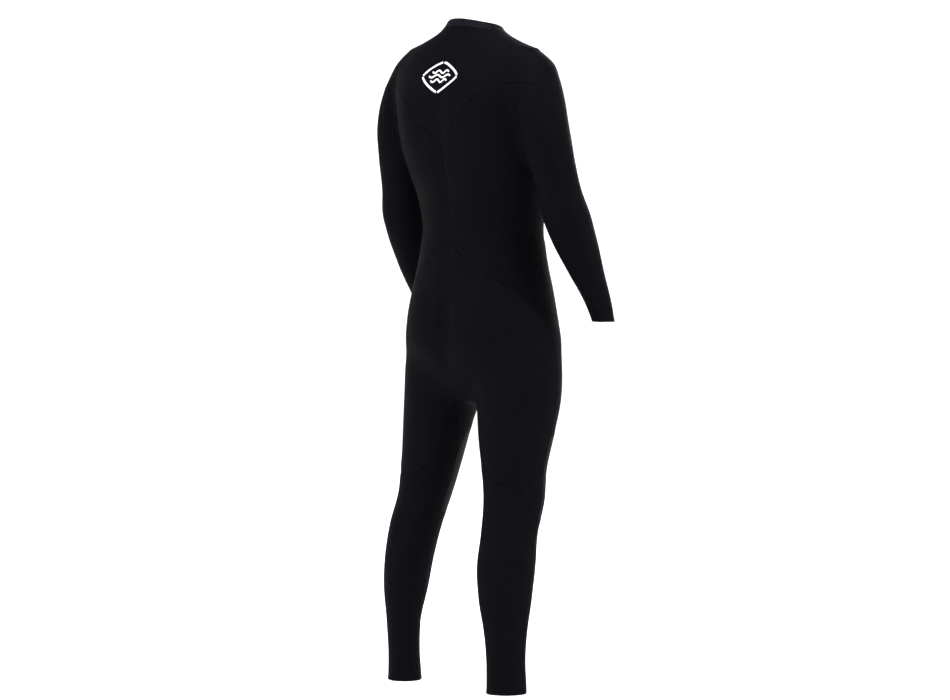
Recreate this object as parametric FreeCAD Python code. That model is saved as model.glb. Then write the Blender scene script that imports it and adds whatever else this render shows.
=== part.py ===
"""Full wetsuit, standing as if worn: neoprene panels, seals, seam tapes and a chest zip.

Millimetres, +Z up.  The wearer faces -Y and their left side is +X.  Heights in this file are
above the ankle hems; export() puts the origin at the middle of the neck seal.  The suit is the
same left and right, so each half is made for +X and mirrored.
"""
import FreeCAD
import Part
import bisect
import math
import os

Vector = FreeCAD.Vector

# Driving dimensions
NEOPRENE = 3.0           # thickness of every panel
SEAM_GAP = 1.0           # how far each panel's edge stays back from its seam line
LINER_GAP = 1.2          # air between a panel and a tape or seal behind it
TAPE_THICK = 0.6
TAPE_WIDTH = 14.0
SEAL_THICK = 1.5
NECK_SEAL_RADIUS = 46.5  # inner radii of the round smooth-skin seals
WRIST_SEAL_RADIUS = 18.0
ANKLE_SEAL_RADIUS = 31.0
SEAL_LENGTH = 12.0
SKIRT_THICK = 1.2        # of the skirt that joins a seal to the panels round it
NECK_SEAL_MIDDLE = (0.0, 24.0, 1417.0)
WRIST_HEIGHT = 793.0
PRINT_THICK = 0.4

# Chest zip: its track is an arc about an axis that lies in the plane x = 0
ZIP_RADIUS = 800.0
ZIP_TILT = 20.0          # degrees that the zip faces upwards
ZIP_MIDDLE = (0.0, -95.0, 1264.0)
ZIP_HALF = 100.0         # half the length of the toothed track
ZIP_TRAVEL_HALF = 90.0   # the slider's middle runs from -this to +this
ZIP_SLOT = 7.0           # half the gap between the two panel edges
TOOTH_PITCH = 2.5
ZIP_TAPE_GAP = 0.6       # air between the panels and the zip's tapes

# The form under the suit, as level sections
# height, half width, y of the front, y of the back, squareness
TORSO_ROWS = [
    (615, 40, -45, 60, 2.0), (690, 120, -95, 105, 2.2), (740, 162, -118, 120, 2.4),
    (790, 167, -121, 118, 2.5), (850, 164, -119, 114, 2.4), (920, 154, -112, 106, 2.3),
    (990, 146, -108, 102, 2.2), (1050, 154, -110, 108, 2.3), (1110, 170, -112, 120, 2.5),
    (1170, 182, -112, 132, 2.7), (1230, 184, -104, 140, 2.8), (1290, 186, -84, 138, 2.7),
    (1330, 192, -60, 124, 2.4), (1355, 194, -46, 112, 2.2), (1375, 174, -37, 102, 2.1),
    (1395, 128, -30, 94, 2.0), (1415, 82, -28, 86, 2.0), (1440, 60, -36, 77, 2.0),
    (1480, 54, -42, 74, 2.0),
]
# height, x and y of the middle, half width, half depth, turn of the section in degrees
ARM_ROWS = [
    (740, 268, -118, 24, 28, 0), (793, 268, -100, 23, 26, 0), (828, 266, -88, 26, 30, 0),
    (898, 260, -55, 35, 42, 0), (967, 251, -27, 45, 53, 0), (1020, 246, -8, 49, 55, 0),
    (1072, 240, 6, 46, 48, 0), (1141, 229, 22, 48, 52, 0), (1211, 220, 32, 48, 56, 0),
    (1270, 204, 32, 50, 58, 0), (1315, 188, 28, 48, 54, 0), (1345, 176, 24, 42, 46, 0),
    (1372, 160, 24, 20, 24, 0),
]
LEG_ROWS = [
    (-40, 156, 84, 44, 38, -45), (10, 157, 83, 43, 37, -45), (63, 157, 85, 42, 35, -45),
    (133, 157, 86, 47, 38, -45), (202, 153, 83, 57, 49, -45), (272, 149, 76, 63, 54, -45),
    (341, 144, 61, 61, 58, -45), (411, 136, 39, 66, 60, -45), (480, 127, 29, 71, 67, -45),
    (550, 122, 18, 82, 75, -45), (620, 117, 6, 91, 84, -45), (690, 107, 1, 98, 92, -45),
    (750, 99, -1, 97, 92, -45), (810, 90, 0, 86, 86, -45), (870, 84, -1, 70, 72, -45),
    (930, 80, -2, 48, 50, -45),
]
# middle of each soft swelling, its spread along X, Y and Z, and its height
SWELLINGS = [
    ((0, 140, 1130), (22, 60, 170), -6),     # hollow of the spine
    ((95, 140, 1235), (50, 50, 70), 5),      # shoulder blade
    ((75, -110, 1200), (60, 50, 40), 9),     # chest
    ((82, 120, 790), (55, 50, 60), 9),       # buttock
    ((0, 130, 780), (20, 60, 60), -14),      # cleft
    ((132, -32, 440), (28, 30, 34), 4),      # kneecap
]
ARM_BLEND = 46.0
LEG_BLEND = 60.0
CROTCH_BLEND = 50.0


class Table:
    """Smooth values between rows that start with an increasing key."""

    def __init__(self, rows):
        self.keys = [float(row[0]) for row in rows]
        self.values = [[float(v) for v in row[1:]] for row in rows]
        steps = [b - a for a, b in zip(self.keys, self.keys[1:])]
        slopes = [[(q - p) / h for p, q in zip(a, b)]
                  for a, b, h in zip(self.values, self.values[1:], steps)]
        self.slopes = [slopes[0]]
        for before, after, h0, h1 in zip(slopes, slopes[1:], steps, steps[1:]):
            self.slopes.append([(p * h1 + q * h0) / (h0 + h1) for p, q in zip(before, after)])
        self.slopes.append(slopes[-1])

    def __call__(self, key):
        key = min(max(key, self.keys[0]), self.keys[-1])
        i = min(max(bisect.bisect(self.keys, key) - 1, 0), len(self.keys) - 2)
        h = self.keys[i + 1] - self.keys[i]
        t = (key - self.keys[i]) / h
        a = (1 + 2 * t) * (1 - t) ** 2
        b = t * (1 - t) ** 2 * h
        c = t * t * (3 - 2 * t)
        d = t * t * (t - 1) * h
        return [a * p + b * m + c * q + d * n for p, m, q, n in
                zip(self.values[i], self.slopes[i], self.values[i + 1], self.slopes[i + 1])]


TORSO, ARM, LEG = Table(TORSO_ROWS), Table(ARM_ROWS), Table(LEG_ROWS)


def outside_section(dx, dy, a, b, squareness):
    """About how far (dx, dy) lies outside a section with half sizes a and b."""
    size = (abs(dx / a) ** squareness + abs(dy / b) ** squareness) ** (1 / squareness)
    return math.hypot(dx, dy) * (1 - 1 / max(size, 1e-6))


def outside_limb(limb, x, y, z):
    cx, cy, a, b, turn = limb(z)
    c, s = math.cos(math.radians(turn)), math.sin(math.radians(turn))
    dx, dy = x - cx, y - cy
    return outside_section(dx * c + dy * s, dy * c - dx * s, a, b, 2.0)


def blend(p, q, reach):
    """The smaller of two distances, rounded where they are closer than reach."""
    h = max(reach - abs(p - q), 0) / reach
    return min(p, q) - h ** 3 * reach / 6


def outside(point):
    """Less than 0 inside the form, 0 on it and more outside."""
    x, y, z = abs(point.x), point.y, point.z
    a, front, back, squareness = TORSO(z)
    torso = outside_section(x, y - (front + back) / 2, a, (back - front) / 2, squareness)
    torso = -blend(-torso, z - TORSO.keys[0], CROTCH_BLEND)
    arm = max(outside_limb(ARM, x, y, z), z - ARM.keys[-1])
    leg = max(outside_limb(LEG, x, y, z), z - LEG.keys[-1])
    total = blend(blend(torso, leg, LEG_BLEND), arm, ARM_BLEND)
    for (mx, my, mz), (sx, sy, sz), height in SWELLINGS:
        spread = ((x - mx) / sx) ** 2 + ((y - my) / sy) ** 2 + ((z - mz) / sz) ** 2
        if spread < 20:
            total -= height * math.exp(-spread)
    return total


def slope(point, step=0.5):
    """Gradient of outside()."""
    return Vector(*[(outside(point + d) - outside(point - d)) / (2 * step) for d in
                    (Vector(step, 0, 0), Vector(0, step, 0), Vector(0, 0, step))])


def settle(point):
    """The nearest point of the form's surface, and the outward normal there."""
    for _ in range(8):
        gradient = slope(point)
        move = outside(point) / max(gradient.dot(gradient), 0.05)
        point = point - gradient * min(max(move, -25), 25)
        if abs(move) < 0.01:
            break
    gradient = slope(point)
    return point, gradient / gradient.Length


def at_angle(limb, angle, z):
    """Point of a limb's own section; 0 is the back, 90 outwards, 180 the front."""
    cx, cy, a, b, turn = limb(z)
    turned = math.radians(angle + turn)
    dx, dy = math.sin(turned), math.cos(turned)
    reach = 1 / math.hypot(dx / a, dy / b)
    outward = math.radians(angle)
    return Vector(cx + math.sin(outward) * reach, cy + math.cos(outward) * reach, z)


def arm(angle, z):
    return at_angle(ARM, angle, z)


def leg(angle, z):
    return at_angle(LEG, angle, z)


def torso(angle, z):
    """Point of the torso's section, the angle measured as on a limb."""
    a, front, back, squareness = TORSO(z)
    dx, dy = math.sin(math.radians(angle)), math.cos(math.radians(angle))
    half = (back - front) / 2
    reach = (abs(dx / a) ** squareness + abs(dy / half) ** squareness) ** (-1 / squareness)
    return Vector(dx * reach, (front + back) / 2 + dy * reach, z)


class Seam:
    """A smooth line on the form through guide points."""

    def __init__(self, *points):
        self.points = [settle(Vector(*p) if isinstance(p, tuple) else p)[0] for p in points]
        lengths = [0.0]
        for a, b in zip(self.points, self.points[1:]):
            lengths.append(lengths[-1] + (b - a).Length)
        self.lengths = lengths
        self.curve = Table([(s, p.x, p.y, p.z) for s, p in zip(lengths, self.points)])

    def part(self, first=0, last=-1):
        """The stretch from one guide point to another, read from 0 to 1."""
        start, end = self.lengths[first], self.lengths[last]
        return lambda t: Vector(*self.curve(start + (end - start) * t))

    def steps(self, *numbers):
        """The stretch through the numbered guide points, each step an equal share of 0 to 1."""
        lengths = [self.lengths[number] for number in numbers]

        def point(t):
            k = min(int(t * (len(lengths) - 1)), len(lengths) - 2)
            share = t * (len(lengths) - 1) - k
            return Vector(*self.curve(lengths[k] + (lengths[k + 1] - lengths[k]) * share))
        return point


def line(a, b):
    a, b = (Vector(*p) if isinstance(p, tuple) else p for p in (a, b))
    return lambda t: a + (b - a) * t


def join(first, second, share):
    """Two stretches end to end, the first up to the given share of the whole."""
    return lambda t: first(t / share) if t < share else second((t - share) / (1 - share))


def faces_between(outer, inner):
    """Faces of a closed patch between two grids of points, by the side they lie on."""
    surfaces = []
    edges = []
    for grid in (outer, inner):
        surface = Part.BSplineSurface()
        surface.interpolate(grid)
        u0, u1, v0, v1 = surface.bounds()
        surfaces.append(surface.toShape())
        curves = surface.uIso(u0), surface.uIso(u1), surface.vIso(v0), surface.vIso(v1)
        edges.append([curve.toShape() for curve in curves])
    walls = [Part.makeRuledSurface(a, b, 1) for a, b in zip(*edges)]
    return dict(zip(("outer", "inner", "left", "right", "bottom", "top"), surfaces + walls))


def solid_from(faces):
    sewn = Part.makeCompound(faces)
    sewn.sewShape(0.01)
    solid = Part.makeSolid(sewn.Shells[0])
    if solid.Volume < 0:
        solid.reverse()
    return solid


def solid_between(outer, inner):
    return solid_from(list(faces_between(outer, inner).values()))


def evened(grid, still):
    """The grid with its inner points moved towards the middle of their neighbours.

    The first few points of each line, still of them, stay where they are.
    """
    for _ in range(10):
        points = [[point for point, _ in row] for row in grid]
        for i in range(1, len(points) - 1):
            for j in range(still, len(points[0]) - 1):
                points[i][j] = (points[i - 1][j] + points[i + 1][j]
                                + points[i][j - 1] + points[i][j + 1]) / 4
                grid[i][j] = settle(points[i][j])
    return grid


def draw_back(grid, gaps):
    """Move the named edges of a grid of (point, normal) into the panel by SEAM_GAP.

    They move less where the next line of points is close.
    """
    rows, columns = len(grid), len(grid[0])
    moved = [[point for point, _ in row] for row in grid]

    def shift(i, j, inner_i, inner_j, along_a, along_b):
        inward = grid[inner_i][inner_j][0] - grid[i][j][0]
        along = (along_b - along_a)
        along = along / along.Length
        inward = inward - along * inward.dot(along)
        moved[i][j] = moved[i][j] + inward * min(SEAM_GAP / inward.Length, 0.4)

    for i in range(rows):
        a, b = grid[max(i - 1, 0)], grid[min(i + 1, rows - 1)]
        if "bottom" in gaps:
            shift(i, 0, i, 1, a[0][0], b[0][0])
        if "top" in gaps:
            shift(i, -1, i, -2, a[-1][0], b[-1][0])
    for j in range(columns):
        a, b = max(j - 1, 0), min(j + 1, columns - 1)
        if "left" in gaps:
            shift(0, j, 1, j, grid[0][a][0], grid[0][b][0])
        if "right" in gaps:
            shift(-1, j, -2, j, grid[-1][a][0], grid[-1][b][0])
    return [[(moved[i][j], grid[i][j][1]) for j in range(columns)] for i in range(rows)]


def panel(left, right, bottom, top, guides=(), across=9, along=15, middle=None, hem=None,
          still=1):
    """Solid patch of the form between four edge lines.

    left and right run from bottom to top, bottom and top from left to right.
    guides run beside left and right and share out the width evenly.
    The edge named as middle lies on the plane x = 0, and the patch goes on to its mirror
    image there.  The edge named as hem isn't drawn back.  The first few points from the
    bottom up, still of them, aren't evened out.
    """
    lines = [left, *guides, right]
    grid = []
    for i in range(across):
        u = i / (across - 1)
        share = u * (len(lines) - 1)
        fixes = [edge(u) - Vector(*Table([(k, *f(end)) for k, f in enumerate(lines)])(share))
                 for edge, end in ((bottom, 0), (top, 1))]
        column = []
        for j in range(along):
            v = j / (along - 1)
            base = Vector(*Table([(k, *f(v)) for k, f in enumerate(lines)])(share))
            column.append(settle(base + fixes[0] * (1 - v) + fixes[1] * v))
        grid.append(column)
    grid = evened(grid, still)
    grid = draw_back(grid, {"left", "right", "bottom", "top"} - {middle, hem})
    flat = {"left": grid[0], "bottom": [column[0] for column in grid], None: []}[middle]
    for point, normal in flat:
        point.x = normal.x = 0
    faces = faces_between(*[[[p + n * depth for p, n in column] for column in grid]
                            for depth in (0, -NEOPRENE)])
    if middle:
        del faces[middle]
        return solid_from([*faces.values(), *[mirrored(face) for face in faces.values()]])
    return solid_from(list(faces.values()))


def strip(stretch, width, high, low, count=24):
    """Ribbon of the given width along a line on the form, between two depths."""
    grid = [[], [], [], [], []]
    for k in range(count):
        t = k / (count - 1)
        along = stretch(min(t + 0.01, 1)) - stretch(max(t - 0.01, 0))
        point, normal = settle(stretch(t))
        side = along.cross(normal)
        side = side * (width / 2 / side.Length)
        for row, share in zip(grid, (-1, -0.5, 0, 0.5, 1)):
            row.append(settle(point + side * share))
    return solid_between(*[[[p + n * depth for p, n in row] for row in grid]
                           for depth in (high, low)])


def reach_inside(middle, direction):
    """Distance from a point inside the suit to just short of the panels."""
    near, far = 0.0, 90.0
    while far - near > 0.01:
        reach = (near + far) / 2
        if outside(middle + direction * reach) < -NEOPRENE - 1.0:
            near = reach
        else:
            far = reach
    return near


def mirrored(shape):
    return shape.mirror(Vector(0, 0, 0), Vector(1, 0, 0))


def seal(middle, axis, radius):
    """Round ring with its middle at a point, and a skirt from it out to the panels.

    The skirt is near the end of the ring that the axis points to.
    """
    middle, axis = Vector(*middle), Vector(*axis).normalize()
    base = middle - axis * (SEAL_LENGTH / 2)
    whole = Part.makeCylinder(radius + SEAL_THICK, SEAL_LENGTH, base, axis)
    ring_solid = whole.cut(Part.makeCylinder(radius, SEAL_LENGTH, base, axis))
    first = axis.cross(Vector(0, 1, 0)).normalize()
    second = axis.cross(first)
    start = middle + axis * (SEAL_LENGTH / 2 - 1.2)
    halves = []
    for half in (0, 180):
        rows = []
        for k in range(25):
            turn = math.radians(half + 180 * k / 24)
            direction = first * math.cos(turn) + second * math.sin(turn)
            near, far = radius + SEAL_THICK + 0.1, reach_inside(start, direction)
            rows.append([start + direction * (near + (far - near) * share)
                         for share in (0, 0.5, 1)])
        lower = [[p - axis * SKIRT_THICK for p in row] for row in rows]
        faces = faces_between(rows, lower)
        del faces["left"], faces["right"]
        halves += faces.values()
    return [ring_solid, solid_from(halves)]


def export(name, shape):
    if isinstance(shape, list):
        shape = Part.makeCompound(shape)
    solids = shape.Solids
    good = solids and all(s.isValid() and s.isClosed() and s.Volume > 0 for s in solids)
    print(f"{name:26s} {len(solids):4d} solids {sum(s.Volume for s in solids) / 1000:9.2f} cm3",
          "" if good else "  BAD")
    shape.translated(-Vector(*NECK_SEAL_MIDDLE)).exportStep(f"parts/{name}.step")


def export_pair(name, shape):
    """A left piece and its mirror image on the right."""
    export(f"{name}_left", shape)
    if isinstance(shape, list):
        export(f"{name}_right", [mirrored(s) for s in shape])
    else:
        export(f"{name}_right", mirrored(shape))


# The zip's own directions: along X, out of the chest and up the chest
TILT = math.radians(ZIP_TILT)
ZIP_OUT = Vector(0, -math.cos(TILT), math.sin(TILT))
ZIP_UP = Vector(0, math.sin(TILT), math.cos(TILT))
ZIP_AXIS = Vector(*ZIP_MIDDLE) - ZIP_OUT * ZIP_RADIUS


def zip_point(along, out, up):
    """Point at a distance along the zip's arc from x = 0, out of it and up from it."""
    turn = along / ZIP_RADIUS
    radial = Vector(math.sin(turn), 0, 0) + ZIP_OUT * math.cos(turn)
    return ZIP_AXIS + radial * (ZIP_RADIUS + out) + ZIP_UP * up


def zip_block(along, out, up):
    """Box in the zip's own directions; each argument is a (low, high) pair."""
    corners = [zip_point(a, o, u) for a in along for o in out for u in up]
    order = ((0, 1, 3, 2), (4, 5, 7, 6), (0, 1, 5, 4), (2, 3, 7, 6), (0, 2, 6, 4), (1, 3, 7, 5))
    faces = [Part.Face(Part.makePolygon([corners[k] for k in (*o4, o4[0])])) for o4 in order]
    solid = Part.makeSolid(Part.makeShell(faces))
    if solid.Volume < 0:
        solid.reverse()
    return solid


# Named places
BACK_POINT = (0, 128, 1175)       # the yoke's point between the shoulder blades
WAIST_POINT = (0, 101, 962)       # the seat panel's apex at the back of the waist
CROTCH_BACK = (0, 109, 704)
CROTCH_FRONT = (0, -90, 690)
ARMPIT = (178, 12, 1112)
HIP = (181, 10, 814)
SHOULDER_BACK = (200, 87, 1302)   # where the armhole meets the yoke, behind and in front
SHOULDER_FRONT = (190, -30, 1292)
ARM_POINT = (276, 15, 1141)       # the yoke's point on the outer upper arm
BREAST = (0, -110, 1045)          # middle of the seam below the chest
NECK_SIDE = 75                    # degrees round the neck to the collar's side seams
NECK_FRONT = 130                  # degrees round the neck to the yoke's front seam
COLLAR_STEP = 15


def collar_seam(angle):
    turn = math.radians(angle)
    y = 24 + 57 * math.cos(turn)
    return Vector(78 * math.sin(turn), y, 1398 + 0.33 * y)


def collar_top(angle):
    turn = math.radians(angle)
    y = 20 + 56 * math.cos(turn)
    return Vector(60 * math.sin(turn), y, 1418 + 0.33 * y)


def ring(shape, first, last):
    """Stretch of a line round the neck between two angles."""
    steps = max(round(abs(last - first) / COLLAR_STEP), 1)
    return Seam(*[shape(first + (last - first) * k / steps) for k in range(steps + 1)]).part()


# Seams.  Each runs from its first named place to its last.
YOKE_BACK = Seam(BACK_POINT, (49, 139, 1215), (98, 137, 1266), (145, 112, 1297), SHOULDER_BACK,
                 (243, 58, 1284), (264, 43, 1227), (274, 30, 1172), ARM_POINT,
                 arm(118, 1090), arm(136, 1030), arm(142, 975), arm(120, 925), arm(50, 880),
                 arm(18, 840), arm(10, WRIST_HEIGHT))
AT_SHOULDER, AT_ARM_POINT = 4, 8
YOKE_FRONT = Seam(ARM_POINT, arm(124, 1152), arm(146, 1188), (230, -20, 1238), SHOULDER_FRONT,
                  (130, -38, 1330), (90, -32, 1368), collar_seam(NECK_FRONT))
AT_FRONT_SHOULDER = 4
CENTRE_BACK = Seam(WAIST_POINT, torso(0, 1030), torso(0, 1100), BACK_POINT)
BACK_SIDE = Seam(SHOULDER_BACK, (198, 87, 1245), (193, 76, 1195), (188, 60, 1150),
                 (184, 38, 1122), ARMPIT, (160, 0, 1075), (148, -16, 1021), (147, -8, 970),
                 (155, 1, 916), (164, 6, 866), HIP)
AT_ARMPIT = 5
ARMHOLE_FRONT = Seam(ARMPIT, (183, -8, 1126), (187, -18, 1160), (190, -23, 1205),
                     (190, -28, 1250), SHOULDER_FRONT)
SEAT = Seam(WAIST_POINT, (65, 100, 919), (123, 81, 883), (161, 43, 847), HIP,
            leg(98, 768), leg(106, 710), leg(108, 640), leg(107, 548), leg(107, 470),
            leg(106, 400), leg(106, 372), leg(105, 280), leg(105, 180), leg(105, 80), leg(105, 0))
AT_HIP, AT_KNEE_TOP, AT_KNEE_BACK, AT_KNEE_LOW = 4, 8, 10, 11
INSEAM_BACK = Seam(CROTCH_BACK, (24, 72, 652), leg(292, 600), leg(280, 550), leg(271.5, 500),
                   leg(270, 492))
INSEAM_FRONT = Seam(CROTCH_FRONT, (22, -72, 655), leg(240, 600), leg(258, 548), leg(268.5, 500),
                    leg(270, 492))
AT_FRONT_KNEE_TOP, AT_GUSSET_TIP = 3, 4
INSEAM = Seam(leg(270, 492), leg(270, 440), leg(270, 372), leg(270, 280), leg(270, 180),
              leg(270, 80), leg(270, 0))
AT_SHIN = 2
GROIN = Seam(CROTCH_FRONT, (45, -108, 712), (100, -110, 755), (155, -62, 795), HIP)
BREAST_SEAM = Seam(BREAST, (60, -108, 1050), (115, -92, 1066), (158, -45, 1092), ARMPIT)
KNEE_BACK = Seam(leg(270, 492), leg(300, 478), leg(340, 463), leg(380, 448), leg(428, 422),
                 leg(466, 400))
KNEE_TOP = Seam(leg(107, 548), leg(145, 558), leg(182, 562), leg(220, 558), leg(258, 548))
KNEE_LOW = Seam(leg(106, 372), leg(145, 362), leg(185, 358), leg(228, 362), leg(270, 372))
UNDERARM_HEIGHTS = (1085, 1058, 1030, 1000, 970, 940, 905, 870, 832, WRIST_HEIGHT)
UNDERARM = Seam(ARMPIT, *[arm(270, z) for z in UNDERARM_HEIGHTS])


def zip_edge(side):
    """Edge of the panel above (1) or below (-1) the zip, from the middle to the shoulder."""
    slot = Seam(*[zip_point(s, 0, side * ZIP_SLOT) for s in (0, 40, 80, 106)],
                zip_point(117, 0, side * 3), zip_point(128, 0, 0))
    beyond = Seam(zip_point(128, 0, 0), (155, -52, 1277), SHOULDER_FRONT)
    return join(slot.part(), beyond.part(), 0.66)


def arc(point_at, first, last, z):
    """Level line round a limb between two angles."""
    return Seam(*[point_at(first + (last - first) * k / 6, z) for k in range(7)]).part()


def spread(point_at, one_side, other_side, count, start=None):
    """Guide lines between two lists of (angle, height), evenly shared out.

    Where start is given, each guide line's first point comes from that line instead.
    """
    lines = []
    for k in range(1, count + 1):
        s = k / (count + 1)
        points = [point_at(a + (c - a) * s, b + (d - b) * s)
                  for (a, b), (c, d) in zip(one_side, other_side)]
        if start:
            points[0] = start(s)
        lines.append(Seam(*points).steps(*range(len(points))))
    return lines


def make_collar():
    for name, first, last in (("collar_back", 0, NECK_SIDE), ("collar_front", NECK_SIDE, 180)):
        edges = [line(settle(collar_seam(a))[0], settle(collar_top(a))[0]) for a in (first, last)]
        if first:
            edges.reverse()
            first, last = last, first
        export(name, panel(*edges, ring(collar_seam, first, last), ring(collar_top, first, last),
                           across=9, along=4, middle="left", hem="top"))
    export("neck_seal", seal(NECK_SEAL_MIDDLE, (0, -0.33, 1), NECK_SEAL_RADIUS))


def make_yoke():
    centre = line(settle(Vector(*BACK_POINT))[0], settle(collar_seam(0))[0])
    guides = [Seam((85, 139, 1250), (80, 120, 1335), (65, 92, 1395), collar_seam(32)).part(),
              Seam((180, 97, 1300), (165, 75, 1352), (120, 60, 1388), collar_seam(65)).part(),
              Seam((256, 50, 1255), (243, 40, 1290), (205, 28, 1348), (140, 20, 1385),
                   collar_seam(98)).part()]
    export("shoulder_yoke", panel(
        centre, YOKE_FRONT.part(), YOKE_BACK.part(0, AT_ARM_POINT),
        ring(collar_seam, 0, NECK_FRONT), guides, across=29, along=25, middle="left", still=4))


def make_back():
    guides = [Seam((60, 101, 922), torso(31, 1000), torso(33, 1090), torso(33, 1180),
                   (80, 140, 1248)).part(),
              Seam((118, 84, 886), torso(60, 970), torso(62, 1060), torso(63, 1170),
                   (145, 112, 1297)).part()]
    export_pair("back_panel", panel(
        CENTRE_BACK.part(), BACK_SIDE.part(-1, 0), SEAT.part(0, AT_HIP),
        YOKE_BACK.part(0, AT_SHOULDER), guides, across=15, along=33))


def make_seat():
    centre = Seam(CROTCH_BACK, (0, 112, 768), (0, 112, 833), (0, 104, 897), WAIST_POINT)
    guides = [Seam((0, 112, 768), (50, 124, 742), leg(-32, 660), leg(-38, 580), leg(-41, 472)),
              Seam((0, 112, 833), (70, 130, 805), (98, 118, 720), leg(2, 620), leg(8, 453)),
              Seam((0, 104, 897), (88, 106, 862), (148, 82, 780), leg(50, 660), leg(58, 428))]
    export("seat_panel", panel(
        INSEAM_BACK.part(), SEAT.part(0, AT_KNEE_BACK), centre.part(), KNEE_BACK.part(),
        [g.part() for g in guides], across=21, along=31, middle="bottom"))


def make_gusset():
    centre = Seam(CROTCH_FRONT, (0, -57, 624), (0, 10, 615), (0, 70, 627), CROTCH_BACK)
    between = [(f + b) / 2 for f, b in zip(INSEAM_FRONT.points, INSEAM_BACK.points)]
    middle = Seam((0, 10, 615), (20, 11, 610), *between[2:AT_GUSSET_TIP + 1])
    tip = line(INSEAM_FRONT.points[AT_GUSSET_TIP], INSEAM_BACK.points[AT_GUSSET_TIP])
    rows = range(AT_GUSSET_TIP + 1)
    export("crotch_gusset", panel(
        INSEAM_FRONT.steps(*rows), INSEAM_BACK.steps(*rows), centre.part(), tip,
        [middle.steps(*rows)], across=9, along=21, middle="bottom"))


def make_front():
    guide = Seam(zip_point(95, 0, ZIP_SLOT), (62, -55, 1340), collar_seam(155)).part()
    export("front_bib", panel(
        line(zip_edge(1)(0), settle(collar_seam(180))[0]),
        YOKE_FRONT.part(AT_FRONT_SHOULDER, -1), zip_edge(1),
        ring(collar_seam, 180, NECK_FRONT), [guide], across=31, along=11, middle="left"))
    guides = [Seam((75, -106, 1053), torso(140, 1150), (85, -108, 1215),
                   zip_point(70, 0, -ZIP_SLOT)).part(),
              Seam((140, -70, 1080), torso(118, 1140), (148, -76, 1210), (145, -62, 1272)).part()]
    export("chest_panel", panel(
        Seam(BREAST, (0, -112, 1120), (0, -110, 1200), zip_edge(-1)(0)).part(),
        ARMHOLE_FRONT.part(), BREAST_SEAM.part(), zip_edge(-1), guides,
        across=31, along=17, middle="left"))
    guides = [Seam((62, -114, 722), (78, -118, 800), torso(147, 920), (75, -106, 1053)).part(),
              Seam((128, -92, 775), torso(120, 850), torso(118, 950), (140, -70, 1080)).part()]
    export("abdomen_panel", panel(
        Seam(CROTCH_FRONT, (0, -118, 760), (0, -120, 850), (0, -110, 950), BREAST).part(),
        BACK_SIDE.part(-1, AT_ARMPIT), GROIN.part(), BREAST_SEAM.part(), guides,
        across=19, along=27, middle="left"))


def make_legs():
    guides = [Seam(leg(145, 558), leg(145, 640), leg(142, 720), (165, -45, 800)).part(),
              Seam(leg(182, 562), leg(182, 640), leg(178, 705), (110, -105, 764)).part(),
              Seam(leg(220, 558), leg(218, 620), leg(212, 670), (52, -110, 718)).part()]
    export_pair("front_thigh", panel(
        SEAT.part(AT_KNEE_TOP, AT_HIP), INSEAM_FRONT.part(AT_FRONT_KNEE_TOP, 0), KNEE_TOP.part(),
        GROIN.part(-1, 0), guides, across=17, along=19))
    front = (106, 372), (106, 430), (107, 490), (107, 548)
    inner = (270, 372), (270, 430), (269, 490), (258, 548)
    export_pair("knee_pad", panel(
        SEAT.part(AT_KNEE_LOW, AT_KNEE_TOP),
        join(INSEAM.part(AT_SHIN, 0), INSEAM_FRONT.part(-1, AT_FRONT_KNEE_TOP), 0.68),
        KNEE_LOW.part(), KNEE_TOP.part(), spread(leg, front, inner, 3), across=15, along=21))
    front = [(105, z) for z in (0, 90, 180, 280, 372)]
    inner = [(270, z) for z in (0, 90, 180, 280, 372)]
    export_pair("shin_panel", panel(
        SEAT.part(-1, AT_KNEE_LOW), INSEAM.part(-1, AT_SHIN), arc(leg, 105, 270, 0),
        KNEE_LOW.part(), spread(leg, front, inner, 3), across=15, along=25, hem="bottom"))
    inner = (-90, 0), (-90, 120), (-90, 240), (-90, 360), (-90, 492)
    outer = (105, 0), (105, 100), (105, 200), (106, 300), (106, 400)
    export_pair("calf_panel", panel(
        INSEAM.part(-1, 0), SEAT.part(-1, AT_KNEE_BACK), arc(leg, -90, 105, 0),
        KNEE_BACK.part(), spread(leg, inner, outer, 3), across=17, along=31, hem="bottom"))
    ankle = LEG(SEAL_LENGTH / 2 + 2)
    export_pair("ankle_seal", seal((ankle[0], ankle[1], SEAL_LENGTH / 2 + 2), (0, 0, 1),
                                   ANKLE_SEAL_RADIUS))


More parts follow.
